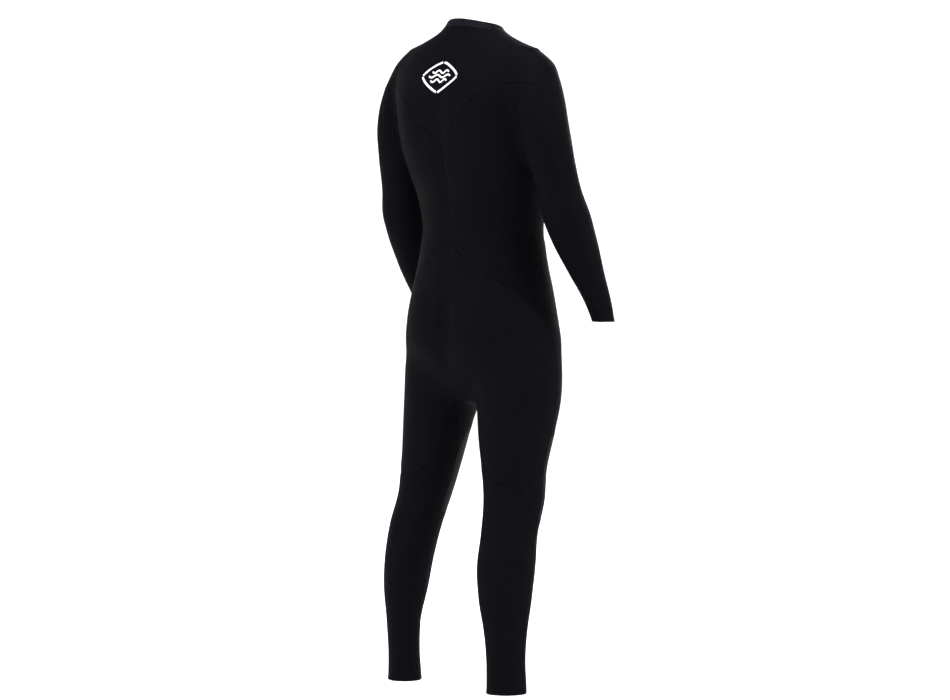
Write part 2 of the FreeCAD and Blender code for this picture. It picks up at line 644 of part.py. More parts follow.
def make_sleeves():
    wrist = WRIST_HEIGHT
    under = [(-78, 1112), (-86, 1098), *[(-90, z) for z in UNDERARM_HEIGHTS]]
    outer = [(7, 1302), (58, 1284), (77, 1227), (87, 1172), (98, 1141), (118, 1090), (136, 1030),
             (142, 975), (120, 925), (50, 880), (18, 840), (10, wrist)]
    rows = range(AT_SHOULDER, len(YOKE_BACK.points))
    armhole = BACK_SIDE.part(AT_ARMPIT, 0)
    export_pair("sleeve_back", panel(
        UNDERARM.part(), YOKE_BACK.steps(*rows), armhole, arc(arm, -90, 10, wrist),
        spread(arm, under, outer, 3, armhole), across=15, along=45, hem="top", still=4))
    outer[:5] = (185, 1292), (155, 1238), (146, 1188), (98, 1141)
    under = [(280, 1112), *[(270, z) for z in UNDERARM_HEIGHTS]]
    upper, lower = YOKE_FRONT.steps(4, 3, 2, 0), YOKE_BACK.steps(*rows[4:])
    armhole = ARMHOLE_FRONT.part(-1, 0)
    export_pair("sleeve_front", panel(
        join(upper, lower, 0.3), UNDERARM.part(), armhole, arc(arm, 10, 270, wrist),
        spread(arm, outer, under, 4, armhole), across=17, along=51, hem="top"))
    low, high = ARM(wrist + 4), ARM(wrist + 34)
    axis = (high[0] - low[0], high[1] - low[1], 30)
    middle = ARM(wrist + 16)
    export_pair("wrist_seal", seal((middle[0], middle[1], wrist + 16), axis, WRIST_SEAL_RADIUS))


def make_tapes():
    """Bonded strips on the inside of the seams."""
    high = -NEOPRENE - LINER_GAP
    low = high - TAPE_THICK

    def tape(stretch):
        length = sum((stretch(k / 20 + 0.05) - stretch(k / 20)).Length for k in range(20))
        return strip(stretch, TAPE_WIDTH, high, low, int(length / 9) + 4)

    def between(stretch, start, end):
        return lambda t: stretch(start + (end - start) * t)

    export("centre_back_tape", tape(between(CENTRE_BACK.part(), 0.06, 0.94)))
    export_pair("side_tape", tape(between(BACK_SIDE.part(AT_ARMPIT, -1), 0.1, 0.92)))
    export_pair("seat_tape", tape(between(SEAT.part(0, AT_HIP), 0.06, 0.92)))
    export_pair("outer_leg_tape", tape(between(SEAT.part(AT_HIP, -1), 0.03, 0.97)))
    export_pair("inseam_tape", tape(
        join(between(INSEAM_BACK.part(), 0.2, 1), between(INSEAM.part(), 0, 0.96), 0.28)))
    export_pair("yoke_tape", tape(between(YOKE_BACK.part(0, AT_SHOULDER), 0.07, 0.93)))
    export_pair("sleeve_tape", tape(between(UNDERARM.part(), 0.08, 0.9)))


def make_zip():
    high = -NEOPRENE - ZIP_TAPE_GAP
    teeth_out = (high + 1.2, high + 3.0)
    for name, side in (("upper", 1), ("lower", -1)):
        middle = side * 9.5
        edge = Seam(*[zip_point(s, 0, middle) for s in (-114, -76, -38, 0, 38, 76, 114)])
        export(f"zip_tape_{name}", strip(edge.part(), 16, high, high - 0.8, 21))
        count = int(2 * ZIP_HALF / TOOTH_PITCH)
        starts = [-ZIP_HALF + TOOTH_PITCH * k + (TOOTH_PITCH / 2 if side > 0 else 0)
                  for k in range(count)]
        rows = [zip_block((s, s + 1.3), teeth_out, (side * 0.8, side * 3.2)) for s in starts]
        export(f"zip_teeth_{name}", rows)
    for name, end in (("closed", -1), ("open", 1)):
        export(f"zip_stop_{name}", zip_block((end * (ZIP_HALF + 3), end * (ZIP_HALF + 6.5)),
                                             teeth_out, (-3.2, 3.2)))
    flap = Seam(*[zip_point(s, 0, 0) for s in (-118, -80, -40, 0, 40, 80, 118)])
    export("zip_flap", strip(flap.part(), 34, -9.5, -11.0, 21))


def make_slider():
    """Slider and pull tab at the closed end of the zip."""
    here = -ZIP_TRAVEL_HALF
    top_plate = zip_block((here - 7, here + 7), (0.4, 2.0), (-5, 5))
    fin = zip_block((here - 3, here + 3), (-6.8, 0.5), (-0.35, 0.35))
    bottom_plate = zip_block((here - 7, here + 7), (-8.0, -6.7), (-5, 5))
    cheeks = [zip_block((here - 2, here + 2), (1.9, 5.4), (s * 3.0, s * 4.4)) for s in (-1, 1)]
    pin_middle = zip_point(here, 4.0, 0)
    pin = Part.makeCylinder(0.9, 8, pin_middle - ZIP_UP * 4, ZIP_UP)
    slider = top_plate
    for piece in (fin, bottom_plate, *cheeks, pin):
        slider = slider.fuse(piece)
    export("zip_slider", slider.removeSplitter())
    eye = Part.makeCylinder(2.0, 5.2, pin_middle - ZIP_UP * 2.6, ZIP_UP)
    blade = zip_block((here - 30, here - 1), (3.1, 4.9), (-2.6, 2.6))
    paddle = zip_block((here - 31, here - 12), (3.1, 4.9), (-5, 5))
    hole = Part.makeCylinder(1.05, 8, pin_middle - ZIP_UP * 4, ZIP_UP)
    tab = eye.fuse(blade).fuse(paddle).cut(hole)
    export("zip_pull_tab", tab.removeSplitter())
    print("zip axis", ZIP_AXIS, ZIP_UP, "pin", pin_middle)


def make_emblem():
    """Printed badge on the yoke: a rounded lozenge round three waves."""
    middle = 1318.0

    def lozenge(t):
        turn = 2 * math.pi * t
        c, s = math.cos(turn), math.sin(turn)
        reach = 1 / (abs(c) ** 1.3 + abs(s) ** 1.3) ** (1 / 1.3)
        return Vector(52 * c * reach, 128, middle + 36 * s * reach)

    def wave(height, half):
        return lambda t: Vector(-half + 2 * half * t, 128,
                                middle + height + 3.5 * math.sin(4 * math.pi * t))

    high, low = 0.2 + PRINT_THICK, 0.2
    pieces = [strip(lambda t, k=k: settle(lozenge((k + 0.03 + 0.94 * t) / 4))[0], 4.5, high, low, 14)
              for k in range(4)]
    pieces += [strip(lambda t, w=wave(h, r): settle(w(t))[0], 4.5, high, low, 21)
               for h, r in ((11, 24), (0, 32), (-11, 24))]
    export("back_emblem", pieces)


os.makedirs("parts", exist_ok=True)
make_collar()
make_yoke()
make_back()
make_seat()
make_gusset()
make_front()
make_legs()
make_sleeves()
make_tapes()
make_zip()
make_slider()
make_emblem()
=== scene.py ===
"""Looks of the full wetsuit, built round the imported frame.

The form under the suit and its seams are worked out in millimetres above the ankle hems.  Meshes
are in metres, with the origin at the middle of the neck seal.  The wearer faces -Y and their
left side is +X.  The suit is the same left and right, so the pieces of a pair are mirror images.
"""
import math

import bmesh
import bpy
import numpy as np
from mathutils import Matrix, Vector


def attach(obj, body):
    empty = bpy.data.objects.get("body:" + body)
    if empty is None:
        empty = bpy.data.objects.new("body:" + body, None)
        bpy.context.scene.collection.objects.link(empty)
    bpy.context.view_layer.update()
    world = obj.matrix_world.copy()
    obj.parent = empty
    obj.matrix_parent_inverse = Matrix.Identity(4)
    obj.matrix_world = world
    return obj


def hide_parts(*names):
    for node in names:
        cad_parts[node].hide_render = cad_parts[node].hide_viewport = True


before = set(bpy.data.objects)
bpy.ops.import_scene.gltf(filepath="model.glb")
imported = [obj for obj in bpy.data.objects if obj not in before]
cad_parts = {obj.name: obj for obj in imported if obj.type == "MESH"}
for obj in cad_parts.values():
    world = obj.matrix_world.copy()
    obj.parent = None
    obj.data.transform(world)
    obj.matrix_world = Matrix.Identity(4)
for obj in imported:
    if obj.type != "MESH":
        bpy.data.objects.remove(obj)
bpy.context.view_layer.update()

ORIGIN = np.array((0.0, 24.0, 1417.0))

NEOPRENE = 3.0
LINER_GAP = 1.2
ZIP_TAPE_GAP = 0.6
TAPE_THICK = 0.6
TAPE_WIDTH = 14.0
SPACING = 5.0            # about the size of a panel's mesh cells
PUFF = 0.3               # how far a panel swells beside its seams
STITCH_PITCH = 3.6
WRIST_HEIGHT = 793.0
SEAL_POINTS = 96         # round each seal
SEAL_SKIRT = 4.6         # height of a seal's skirt above its middle
NECK_RISE = 0.33         # slope of the neck along Y
SHARP = 0.6              # an edge that turns by more than this, in radians, is rounded

ZIP_RADIUS = 800.0
ZIP_TILT = math.radians(20)
ZIP_MIDDLE = np.array((0.0, -95.0, 1264.0))
ZIP_SLOT = 7.0
ZIP_TRAVEL_HALF = 90.0

# The form, as level sections: height, half width, y of the front, y of the back, squareness
TORSO_ROWS = [
    (615, 40, -45, 60, 2.0), (690, 120, -95, 105, 2.2), (740, 162, -118, 120, 2.4),
    (790, 167, -121, 118, 2.5), (850, 164, -119, 114, 2.4), (920, 154, -112, 106, 2.3),
    (990, 146, -108, 102, 2.2), (1050, 154, -110, 108, 2.3), (1110, 170, -112, 120, 2.5),
    (1170, 182, -112, 132, 2.7), (1230, 184, -104, 140, 2.8), (1290, 186, -84, 138, 2.7),
    (1330, 192, -60, 124, 2.4), (1355, 194, -46, 112, 2.2), (1375, 174, -37, 102, 2.1),
    (1395, 128, -30, 94, 2.0), (1415, 82, -28, 86, 2.0), (1440, 60, -36, 77, 2.0),
    (1480, 54, -42, 74, 2.0),
]
# height, x and y of the middle, half width, half depth, turn of the section in degrees
ARM_ROWS = [
    (740, 268, -118, 24, 28, 0), (793, 268, -100, 23, 26, 0), (828, 266, -88, 26, 30, 0),
    (898, 260, -55, 35, 42, 0), (967, 251, -27, 45, 53, 0), (1020, 246, -8, 49, 55, 0),
    (1072, 240, 6, 46, 48, 0), (1141, 229, 22, 48, 52, 0), (1211, 220, 32, 48, 56, 0),
    (1270, 204, 32, 50, 58, 0), (1315, 188, 28, 48, 54, 0), (1345, 176, 24, 42, 46, 0),
    (1372, 160, 24, 20, 24, 0),
]
LEG_ROWS = [
    (-40, 156, 84, 44, 38, -45), (10, 157, 83, 43, 37, -45), (63, 157, 85, 42, 35, -45),
    (133, 157, 86, 47, 38, -45), (202, 153, 83, 57, 49, -45), (272, 149, 76, 63, 54, -45),
    (341, 144, 61, 61, 58, -45), (411, 136, 39, 66, 60, -45), (480, 127, 29, 71, 67, -45),
    (550, 122, 18, 82, 75, -45), (620, 117, 6, 91, 84, -45), (690, 107, 1, 98, 92, -45),
    (750, 99, -1, 97, 92, -45), (810, 90, 0, 86, 86, -45), (870, 84, -1, 70, 72, -45),
    (930, 80, -2, 48, 50, -45),
]
# middle of each soft swelling, its spread along X, Y and Z, and its height
SWELLINGS = [
    ((0, 140, 1130), (22, 60, 170), -6),     # hollow of the spine
    ((95, 140, 1235), (50, 50, 70), 5),      # shoulder blade
    ((75, -110, 1200), (60, 50, 40), 9),     # chest
    ((82, 120, 790), (55, 50, 60), 9),       # buttock
    ((0, 130, 780), (20, 60, 60), -14),      # cleft
    ((132, -32, 440), (28, 30, 34), 4),      # kneecap
]
ARM_BLEND = 46.0
LEG_BLEND = 60.0
CROTCH_BLEND = 50.0

# Creases: their two ends on the left half, how wide and how deep they are
CREASES = [
    ((93, 66, 452), (160, 88, 432), 9, 3.2), ((84, 50, 430), (140, 92, 418), 8, 2.6),
    ((112, 86, 470), (178, 72, 452), 10, 2.4), ((90, 62, 405), (128, 96, 398), 7, 2.0),
    ((176, 60, 1100), (186, 84, 1165), 8, 1.6), ((168, 64, 1085), (172, 96, 1130), 9, 1.1),
    ((178, -36, 1130), (176, -60, 1175), 8, 1.4), ((165, -45, 1115), (150, -78, 1140), 9, 1.0),
    ((222, -62, 1010), (272, -66, 1000), 8, 1.5), ((226, -52, 1030), (278, -50, 1022), 9, 1.2),
    ((224, -66, 985), (262, -76, 980), 7, 0.9), ((232, 48, 1000), (285, 20, 985), 10, 0.8),
    ((52, -108, 735), (120, -108, 775), 9, 1.5), ((45, -100, 712), (95, -98, 735), 8, 1.1),
    ((28, 92, 690), (88, 112, 705), 9, 1.5), ((24, 78, 664), (66, 98, 668), 8, 1.1),
    ((95, 98, 985), (148, 30, 975), 12, 0.9), ((80, 104, 955), (150, 40, 940), 12, 0.8),
    ((90, -104, 965), (148, -20, 960), 12, 0.9), ((122, 60, 130), (180, 60, 118), 9, 0.8),
    ((130, 118, 96), (178, 118, 88), 8, 0.9), ((246, -60, 868), (284, -66, 860), 7, 0.8),
]


class Table:
    """Smooth values between rows that start with an increasing key."""

    def __init__(self, rows):
        rows = np.array(rows, float)
        self.keys, self.values = rows[:, 0], rows[:, 1:]
        steps = np.diff(self.keys)[:, None]
        slopes = np.diff(self.values, axis=0) / steps
        inner = (slopes[:-1] * steps[1:] + slopes[1:] * steps[:-1]) / (steps[1:] + steps[:-1])
        self.slopes = np.vstack([slopes[:1], inner, slopes[-1:]])

    def __call__(self, key):
        key = np.clip(key, self.keys[0], self.keys[-1])
        i = np.clip(np.searchsorted(self.keys, key, side="right") - 1, 0, len(self.keys) - 2)
        h = (self.keys[i + 1] - self.keys[i])[..., None]
        t = (key - self.keys[i])[..., None] / h
        return ((1 + 2 * t) * (1 - t) ** 2 * self.values[i] + t * (1 - t) ** 2 * h * self.slopes[i]
                + t * t * (3 - 2 * t) * self.values[i + 1] + t * t * (t - 1) * h * self.slopes[i + 1])


TORSO, ARM, LEG = Table(TORSO_ROWS), Table(ARM_ROWS), Table(LEG_ROWS)


def outside_section(dx, dy, a, b, squareness):
    """About how far (dx, dy) lies outside a section with half sizes a and b."""
    size = (np.abs(dx / a) ** squareness + np.abs(dy / b) ** squareness) ** (1 / squareness)
    return np.hypot(dx, dy) * (1 - 1 / np.maximum(size, 1e-6))


def outside_limb(limb, x, y, z):
    cx, cy, a, b, turn = np.moveaxis(limb(z), -1, 0)
    c, s = np.cos(np.radians(turn)), np.sin(np.radians(turn))
    dx, dy = x - cx, y - cy
    return outside_section(dx * c + dy * s, dy * c - dx * s, a, b, 2.0)


def blend(p, q, reach):
    """The smaller of two distances, rounded where they are closer than reach."""
    h = np.maximum(reach - np.abs(p - q), 0) / reach
    return np.minimum(p, q) - h ** 3 * reach / 6


def outside(points):
    """Less than 0 inside the form, 0 on it and more outside."""
    x, y, z = np.abs(points[..., 0]), points[..., 1], points[..., 2]
    a, front, back, squareness = np.moveaxis(TORSO(z), -1, 0)
    torso = outside_section(x, y - (front + back) / 2, a, (back - front) / 2, squareness)
    torso = -blend(-torso, z - TORSO.keys[0], CROTCH_BLEND)
    arm_part = np.maximum(outside_limb(ARM, x, y, z), z - ARM.keys[-1])
    leg_part = np.maximum(outside_limb(LEG, x, y, z), z - LEG.keys[-1])
    total = blend(blend(torso, leg_part, LEG_BLEND), arm_part, ARM_BLEND)
    for (mx, my, mz), (sx, sy, sz), height in SWELLINGS:
        total = total - height * np.exp(-((x - mx) / sx) ** 2 - ((y - my) / sy) ** 2
                                        - ((z - mz) / sz) ** 2)
    return total


def slope(points, step=0.5):
    """Gradient of outside()."""
    moves = np.eye(3) * step
    return np.stack([(outside(points + m) - outside(points - m)) / (2 * step) for m in moves], -1)


def settle(points, rounds=6):
    """The nearest points of the form's surface, and the outward normals there."""
    points = np.array(points, float)
    for _ in range(rounds):
        gradient = slope(points)
        move = outside(points) / np.maximum((gradient ** 2).sum(-1), 0.05)
        points = points - gradient * np.clip(move, -25, 25)[..., None]
    gradient = slope(points)
    return points, gradient / np.linalg.norm(gradient, axis=-1, keepdims=True)


def at_angle(limb, angle, z):
    """Point of a limb's own section; 0 is the back, 90 outwards, 180 the front."""
    cx, cy, a, b, turn = limb(np.array(z, float))
    turned = math.radians(angle + turn)
    reach = 1 / math.hypot(math.sin(turned) / a, math.cos(turned) / b)
    outward = math.radians(angle)
    return cx + math.sin(outward) * reach, cy + math.cos(outward) * reach, z


def arm(angle, z):
    return at_angle(ARM, angle, z)


def leg(angle, z):
    return at_angle(LEG, angle, z)


def torso(angle, z):
    """Point of the torso's section, the angle measured as on a limb."""
    a, front, back, squareness = TORSO(np.array(z, float))
    dx, dy = math.sin(math.radians(angle)), math.cos(math.radians(angle))
    half = (back - front) / 2
    reach = (abs(dx / a) ** squareness + abs(dy / half) ** squareness) ** (-1 / squareness)
    return dx * reach, (front + back) / 2 + dy * reach, z


class Seam:
    """A smooth line on the form through guide points, read from 0 to 1."""

    def __init__(self, *points):
        self.points = settle(points, 8)[0]
        steps = np.linalg.norm(np.diff(self.points, axis=0), axis=1)
        self.lengths = np.concatenate([[0], np.cumsum(steps)])
        self.curve = Table(np.column_stack([self.lengths, self.points]))

    def __call__(self, t):
        return self.curve(self.lengths[-1] * np.asarray(t, float))

    def part(self, first, last):
        """The stretch from one guide point to another, read from 0 to 1."""
        start, end = self.lengths[first], self.lengths[last]
        return lambda t: self.curve(start + (end - start) * np.asarray(t, float))

    def steps(self, *numbers):
        """The stretch through the numbered guide points, each step an equal share of 0 to 1."""
        lengths = self.lengths[list(numbers)]
        return lambda t: self.curve(np.interp(np.asarray(t) * (len(lengths) - 1),
                                              range(len(lengths)), lengths))


def line(a, b):
    a, b = np.array(a, float), np.array(b, float)
    return lambda t: a + (b - a) * np.asarray(t, float)[..., None]


def join(first, second, share):
    """Two stretches end to end, the first up to the given share of the whole."""
    return lambda t: np.where(np.asarray(t)[..., None] < share, first(np.minimum(t / share, 1)),
                              second(np.maximum((t - share) / (1 - share), 0)))


# The zip's own directions: along X, out of the chest and up the chest
ZIP_OUT = np.array((0, -math.cos(ZIP_TILT), math.sin(ZIP_TILT)))
ZIP_UP = np.array((0, math.sin(ZIP_TILT), math.cos(ZIP_TILT)))
ZIP_AXIS = ZIP_MIDDLE - ZIP_OUT * ZIP_RADIUS


def zip_point(along, out, up):
    """Point at a distance along the zip's arc from x = 0, out of it and up from it."""
    turn = along / ZIP_RADIUS
    radial = np.array((math.sin(turn), 0, 0)) + ZIP_OUT * math.cos(turn)
    return tuple(ZIP_AXIS + radial * (ZIP_RADIUS + out) + ZIP_UP * up)


# Named places
BACK_POINT = (0, 128, 1175)
WAIST_POINT = (0, 101, 962)
CROTCH_BACK = (0, 109, 704)
CROTCH_FRONT = (0, -90, 690)
ARMPIT = (178, 12, 1112)
HIP = (181, 10, 814)
SHOULDER_BACK = (200, 87, 1302)
SHOULDER_FRONT = (190, -30, 1292)
ARM_POINT = (276, 15, 1141)
BREAST = (0, -110, 1045)
NECK_SIDE = 75
NECK_FRONT = 130
COLLAR_STEP = 15


def neck_ring(angle, half_width, middle, half_depth, height):
    """Point of a sloping ring round the neck; 0 is the back and 180 the front."""
    turn = math.radians(angle)
    y = middle + half_depth * math.cos(turn)
    return half_width * math.sin(turn), y, height + NECK_RISE * y


def collar_seam(angle):
    return neck_ring(angle, 78, 24, 57, 1398)


def collar_top(angle):
    return neck_ring(angle, 60, 20, 56, 1418)


def ring(shape, first, last):
    """Stretch of a line round the neck between two angles."""
    steps = max(round(abs(last - first) / COLLAR_STEP), 1)
    return Seam(*[shape(first + (last - first) * k / steps) for k in range(steps + 1)])


# Seams.  Each runs from its first named place to its last.
YOKE_BACK = Seam(BACK_POINT, (49, 139, 1215), (98, 137, 1266), (145, 112, 1297), SHOULDER_BACK,
                 (243, 58, 1284), (264, 43, 1227), (274, 30, 1172), ARM_POINT,
                 arm(118, 1090), arm(136, 1030), arm(142, 975), arm(120, 925), arm(50, 880),
                 arm(18, 840), arm(10, WRIST_HEIGHT))
AT_SHOULDER, AT_ARM_POINT = 4, 8
YOKE_FRONT = Seam(ARM_POINT, arm(124, 1152), arm(146, 1188), (230, -20, 1238), SHOULDER_FRONT,
                  (130, -38, 1330), (90, -32, 1368), collar_seam(NECK_FRONT))
AT_FRONT_SHOULDER = 4
CENTRE_BACK = Seam(WAIST_POINT, torso(0, 1030), torso(0, 1100), BACK_POINT)
BACK_SIDE = Seam(SHOULDER_BACK, (198, 87, 1245), (193, 76, 1195), (188, 60, 1150),
                 (184, 38, 1122), ARMPIT, (160, 0, 1075), (148, -16, 1021), (147, -8, 970),
                 (155, 1, 916), (164, 6, 866), HIP)
AT_ARMPIT = 5
ARMHOLE_FRONT = Seam(ARMPIT, (183, -8, 1126), (187, -18, 1160), (190, -23, 1205),
                     (190, -28, 1250), SHOULDER_FRONT)
SEAT = Seam(WAIST_POINT, (65, 100, 919), (123, 81, 883), (161, 43, 847), HIP,
            leg(98, 768), leg(106, 710), leg(108, 640), leg(107, 548), leg(107, 470),
            leg(106, 400), leg(106, 372), leg(105, 280), leg(105, 180), leg(105, 80), leg(105, 0))
AT_HIP, AT_KNEE_TOP, AT_KNEE_BACK, AT_KNEE_LOW = 4, 8, 10, 11
INSEAM_BACK = Seam(CROTCH_BACK, (24, 72, 652), leg(292, 600), leg(280, 550), leg(271.5, 500),
                   leg(270, 492))
INSEAM_FRONT = Seam(CROTCH_FRONT, (22, -72, 655), leg(240, 600), leg(258, 548), leg(268.5, 500),
                    leg(270, 492))
AT_FRONT_KNEE_TOP, AT_GUSSET_TIP = 3, 4
INSEAM = Seam(leg(270, 492), leg(270, 440), leg(270, 372), leg(270, 280), leg(270, 180),
              leg(270, 80), leg(270, 0))
AT_SHIN = 2
GROIN = Seam(CROTCH_FRONT, (45, -108, 712), (100, -110, 755), (155, -62, 795), HIP)
BREAST_SEAM = Seam(BREAST, (60, -108, 1050), (115, -92, 1066), (158, -45, 1092), ARMPIT)
KNEE_BACK = Seam(leg(270, 492), leg(300, 478), leg(340, 463), leg(380, 448), leg(428, 422),
                 leg(466, 400))
KNEE_TOP = Seam(leg(107, 548), leg(145, 558), leg(182, 562), leg(220, 558), leg(258, 548))
KNEE_LOW = Seam(leg(106, 372), leg(145, 362), leg(185, 358), leg(228, 362), leg(270, 372))
UNDERARM_HEIGHTS = (1085, 1058, 1030, 1000, 970, 940, 905, 870, 832, WRIST_HEIGHT)
UNDERARM = Seam(ARMPIT, *[arm(270, z) for z in UNDERARM_HEIGHTS])


def zip_edge(side):
    """Edge of the panel above (1) or below (-1) the zip, from the middle to the shoulder."""
    slot = Seam(*[zip_point(s, 0, side * ZIP_SLOT) for s in (0, 40, 80, 106)],
                zip_point(117, 0, side * 3), zip_point(128, 0, 0))
    beyond = Seam(zip_point(128, 0, 0), (155, -52, 1277), SHOULDER_FRONT)
    return join(slot, beyond, 0.66)


def arc(point_at, first, last, z):
    """Level line round a limb between two angles."""
    return Seam(*[point_at(first + (last - first) * k / 6, z) for k in range(7)])


def spread(point_at, one_side, other_side, count, start=None):
    """Guide lines between two lists of (angle, height), evenly shared out.

    Where start is given, each guide line's first point comes from that line instead.
    """
    lines = []
    for k in range(1, count + 1):
        s = k / (count + 1)
        points = [point_at(a + (c - a) * s, b + (d - b) * s)
                  for (a, b), (c, d) in zip(one_side, other_side)]
        if start:
            points[0] = tuple(start(s))
        lines.append(Seam(*points).steps(*range(len(points))))
    return lines


def resample(grid, count):
    """A grid read smoothly at more places along its first direction."""
    rows = np.column_stack([np.arange(len(grid)), grid.reshape(len(grid), -1)])
    return Table(rows)(np.linspace(0, len(grid) - 1, count)).reshape(count, *grid.shape[1:])


def lengths_along(grid):
    """Distance from the first line of a grid to each line, measured along the grid."""
    steps = np.linalg.norm(np.diff(grid, axis=0), axis=-1)
    return np.concatenate([np.zeros_like(steps[:1]), np.cumsum(steps, axis=0)])


def add_edge_lines(grid):
    """Put three more lines close to the first line of a grid."""
    step = grid[1] - grid[0]
    length = np.maximum(np.linalg.norm(step, axis=-1, keepdims=True), 1e-6)
    extra = [grid[0] + step * np.minimum(d / length, share)
             for d, share in ((0.35, 0.12), (0.9, 0.3), (2.0, 0.6))]
    return np.concatenate([grid[:1], extra, grid[1:]])


def patch(left, right, bottom, top, guides=(), across=9, along=15, middle=None):
    """Fine grid of points on the form between four edge lines, and the normals there."""
    u, v = np.linspace(0, 1, across), np.linspace(0, 1, along)
    lines = np.stack([edge(v) for edge in (left, *guides, right)])
    rows = np.column_stack([np.arange(len(lines)), lines.reshape(len(lines), -1)])
    grid = Table(rows)(u * (len(lines) - 1)).reshape(across, along, 3)
    grid = grid + (bottom(u) - grid[:, 0])[:, None] * (1 - v)[None, :, None]
    grid = grid + (top(u) - grid[:, -1])[:, None] * v[None, :, None]
    for _ in range(6):
        for _ in range(3):
            grid[1:-1, 1:-1] = (grid[:-2, 1:-1] + grid[2:, 1:-1]
                                + grid[1:-1, :-2] + grid[1:-1, 2:]) / 4
        grid = settle(grid, 2)[0]
    wide = np.median(lengths_along(grid)[-1])
    tall = np.median(lengths_along(grid.transpose(1, 0, 2))[-1])
    u = np.linspace(0, 1, max(int(wide / SPACING), across))
    v = np.linspace(0, 1, max(int(tall / SPACING), along))
    grid = resample(resample(grid, len(u)).transpose(1, 0, 2), len(v)).transpose(1, 0, 2)
    for edge, near, share in ((left, 0, 1 - u), (right, -1, u)):
        grid = grid + (edge(v) - grid[near])[None] * share[:, None, None]
    for edge, near, share in ((bottom, 0, 1 - v), (top, -1, v)):
        grid = grid + (edge(u) - grid[:, near])[:, None] * share[None, :, None]
    if middle == "left":
        grid[0, :, 0] = 0
        grid = np.concatenate([grid[:0:-1] * (-1, 1, 1), grid])
    if middle == "bottom":
        grid[:, 0, 0] = 0
        grid = np.concatenate([grid[:, :0:-1] * (-1, 1, 1), grid], axis=1)
    for _ in range(2):
        grid = add_edge_lines(add_edge_lines(grid)[::-1])[::-1].transpose(1, 0, 2)
    return settle(grid, 5)


def creased(points):
    """How far the cloth lies out of the form: a few creases and a slight unevenness."""
    x, y, z = np.abs(points[..., 0]), points[..., 1], points[..., 2]
    lift = 0.35 * np.sin(x / 31 + z / 47) * np.sin(y / 37 - z / 61 + 1)
    lift += 0.25 * np.sin(z / 23 + x / 19) * np.sin(y / 17 + 2)
    here = np.stack([x, y, z], -1)
    for a, b, width, depth in CREASES:
        a, b = np.array(a, float), np.array(b, float)
        along = b - a
        t = ((here - a) @ along) / (along @ along)
        bend = a + along * np.clip(t, 0, 1)[..., None]
        bend[..., 2] += width * 0.5 * np.sin(np.clip(t, 0, 1) * math.pi)
        off = np.linalg.norm(here - bend, axis=-1) / width
        fade = np.clip(1 - (2 * t - 1) ** 4, 0, 1)
        lift += depth * fade * (0.55 * np.exp(-(off / 2.2) ** 2) - np.exp(-off ** 2))
    return lift


def add_object(name, data):
    made = bpy.data.objects.new(name, data)
    bpy.context.scene.collection.objects.link(made)
    return made


def add_mesh(name, points, faces, flip=False):
    """A mesh object from points in millimetres above the hems."""
    mesh = bpy.data.meshes.new(name)
    if flip:
        faces = [face[::-1] for face in faces]
    mesh.from_pydata(((points - ORIGIN) / 1000).tolist(), [], faces)
    mesh.validate()
    mesh.update()
    mesh.shade_smooth()
    return add_object(name, mesh)


def grid_faces(rows, columns, start=0):
    index = start + np.arange(rows * columns).reshape(rows, columns)
    return np.stack([index[:-1, :-1], index[1:, :-1], index[1:, 1:], index[:-1, 1:]],
                    -1).reshape(-1, 4).tolist()


def shell_faces(rows, columns):
    """Faces of a closed sheet: an outer grid, an inner grid after it and the rim between."""
    index = np.arange(rows * columns).reshape(rows, columns)
    rim = np.concatenate([index[:-1, 0], index[-1, :-1], index[:0:-1, -1], index[0, :0:-1]])
    count = rows * columns
    inner = [face[::-1] for face in grid_faces(rows, columns, count)]
    walls = np.stack([rim, rim + count, np.roll(rim, -1) + count, np.roll(rim, -1)], -1)
    return grid_faces(rows, columns) + inner + walls.tolist()


def sheet_piece(name, grid, normals, thick=NEOPRENE, depth=0.0, puff=PUFF, hems=()):
    """A closed sheet with rounded edges, its outer face at a depth in the form.

    The edges named in hems are cut ends, with a line of stitches pressed in beside them.
    """
    rows, columns = grid.shape[:2]
    across, along = lengths_along(grid), lengths_along(grid.transpose(1, 0, 2)).T
    sides = {"left": across, "right": across[-1:] - across,
             "bottom": along, "top": along[:, -1:] - along}
    edge = np.min(list(sides.values()), axis=0)
    hem = np.min([sides[side] for side in hems], axis=0) if hems else np.full(edge.shape, 99.0)
    rounded = np.sqrt(np.clip(1 - np.clip(1 - edge / 1.4, 0, 1) ** 2, 0, 1))
    soft = (1 - rounded) * min(1.0, thick * 0.35)
    lift = creased(grid) + puff * np.exp(-((edge - 5) / 3.5) ** 2)
    lift = lift - 0.3 * np.exp(-((hem - 9) / 1.2) ** 2) * (hem < 30)
    outer = grid + normals * (lift - depth - soft)[..., None]
    back = grid + normals * (creased(grid) - depth - thick + soft)[..., None]
    points = np.concatenate([outer.reshape(-1, 3), back.reshape(-1, 3)])
    facing = np.cross(grid[rows // 2 + 1, columns // 2] - grid[rows // 2, columns // 2],
                      grid[rows // 2, columns // 2 + 1] - grid[rows // 2, columns // 2])
    flip = facing @ normals[rows // 2, columns // 2] < 0
    cloth = np.stack([across - across[-1:] / 2, along, np.minimum(edge, hem + 40)], -1)
    cloth = np.concatenate([cloth.reshape(-1, 3), cloth.reshape(-1, 3)])
    inner = np.repeat((0.0, 1.0), rows * columns)
    return add_cloth(name, points, shell_faces(rows, columns), flip, cloth, inner)


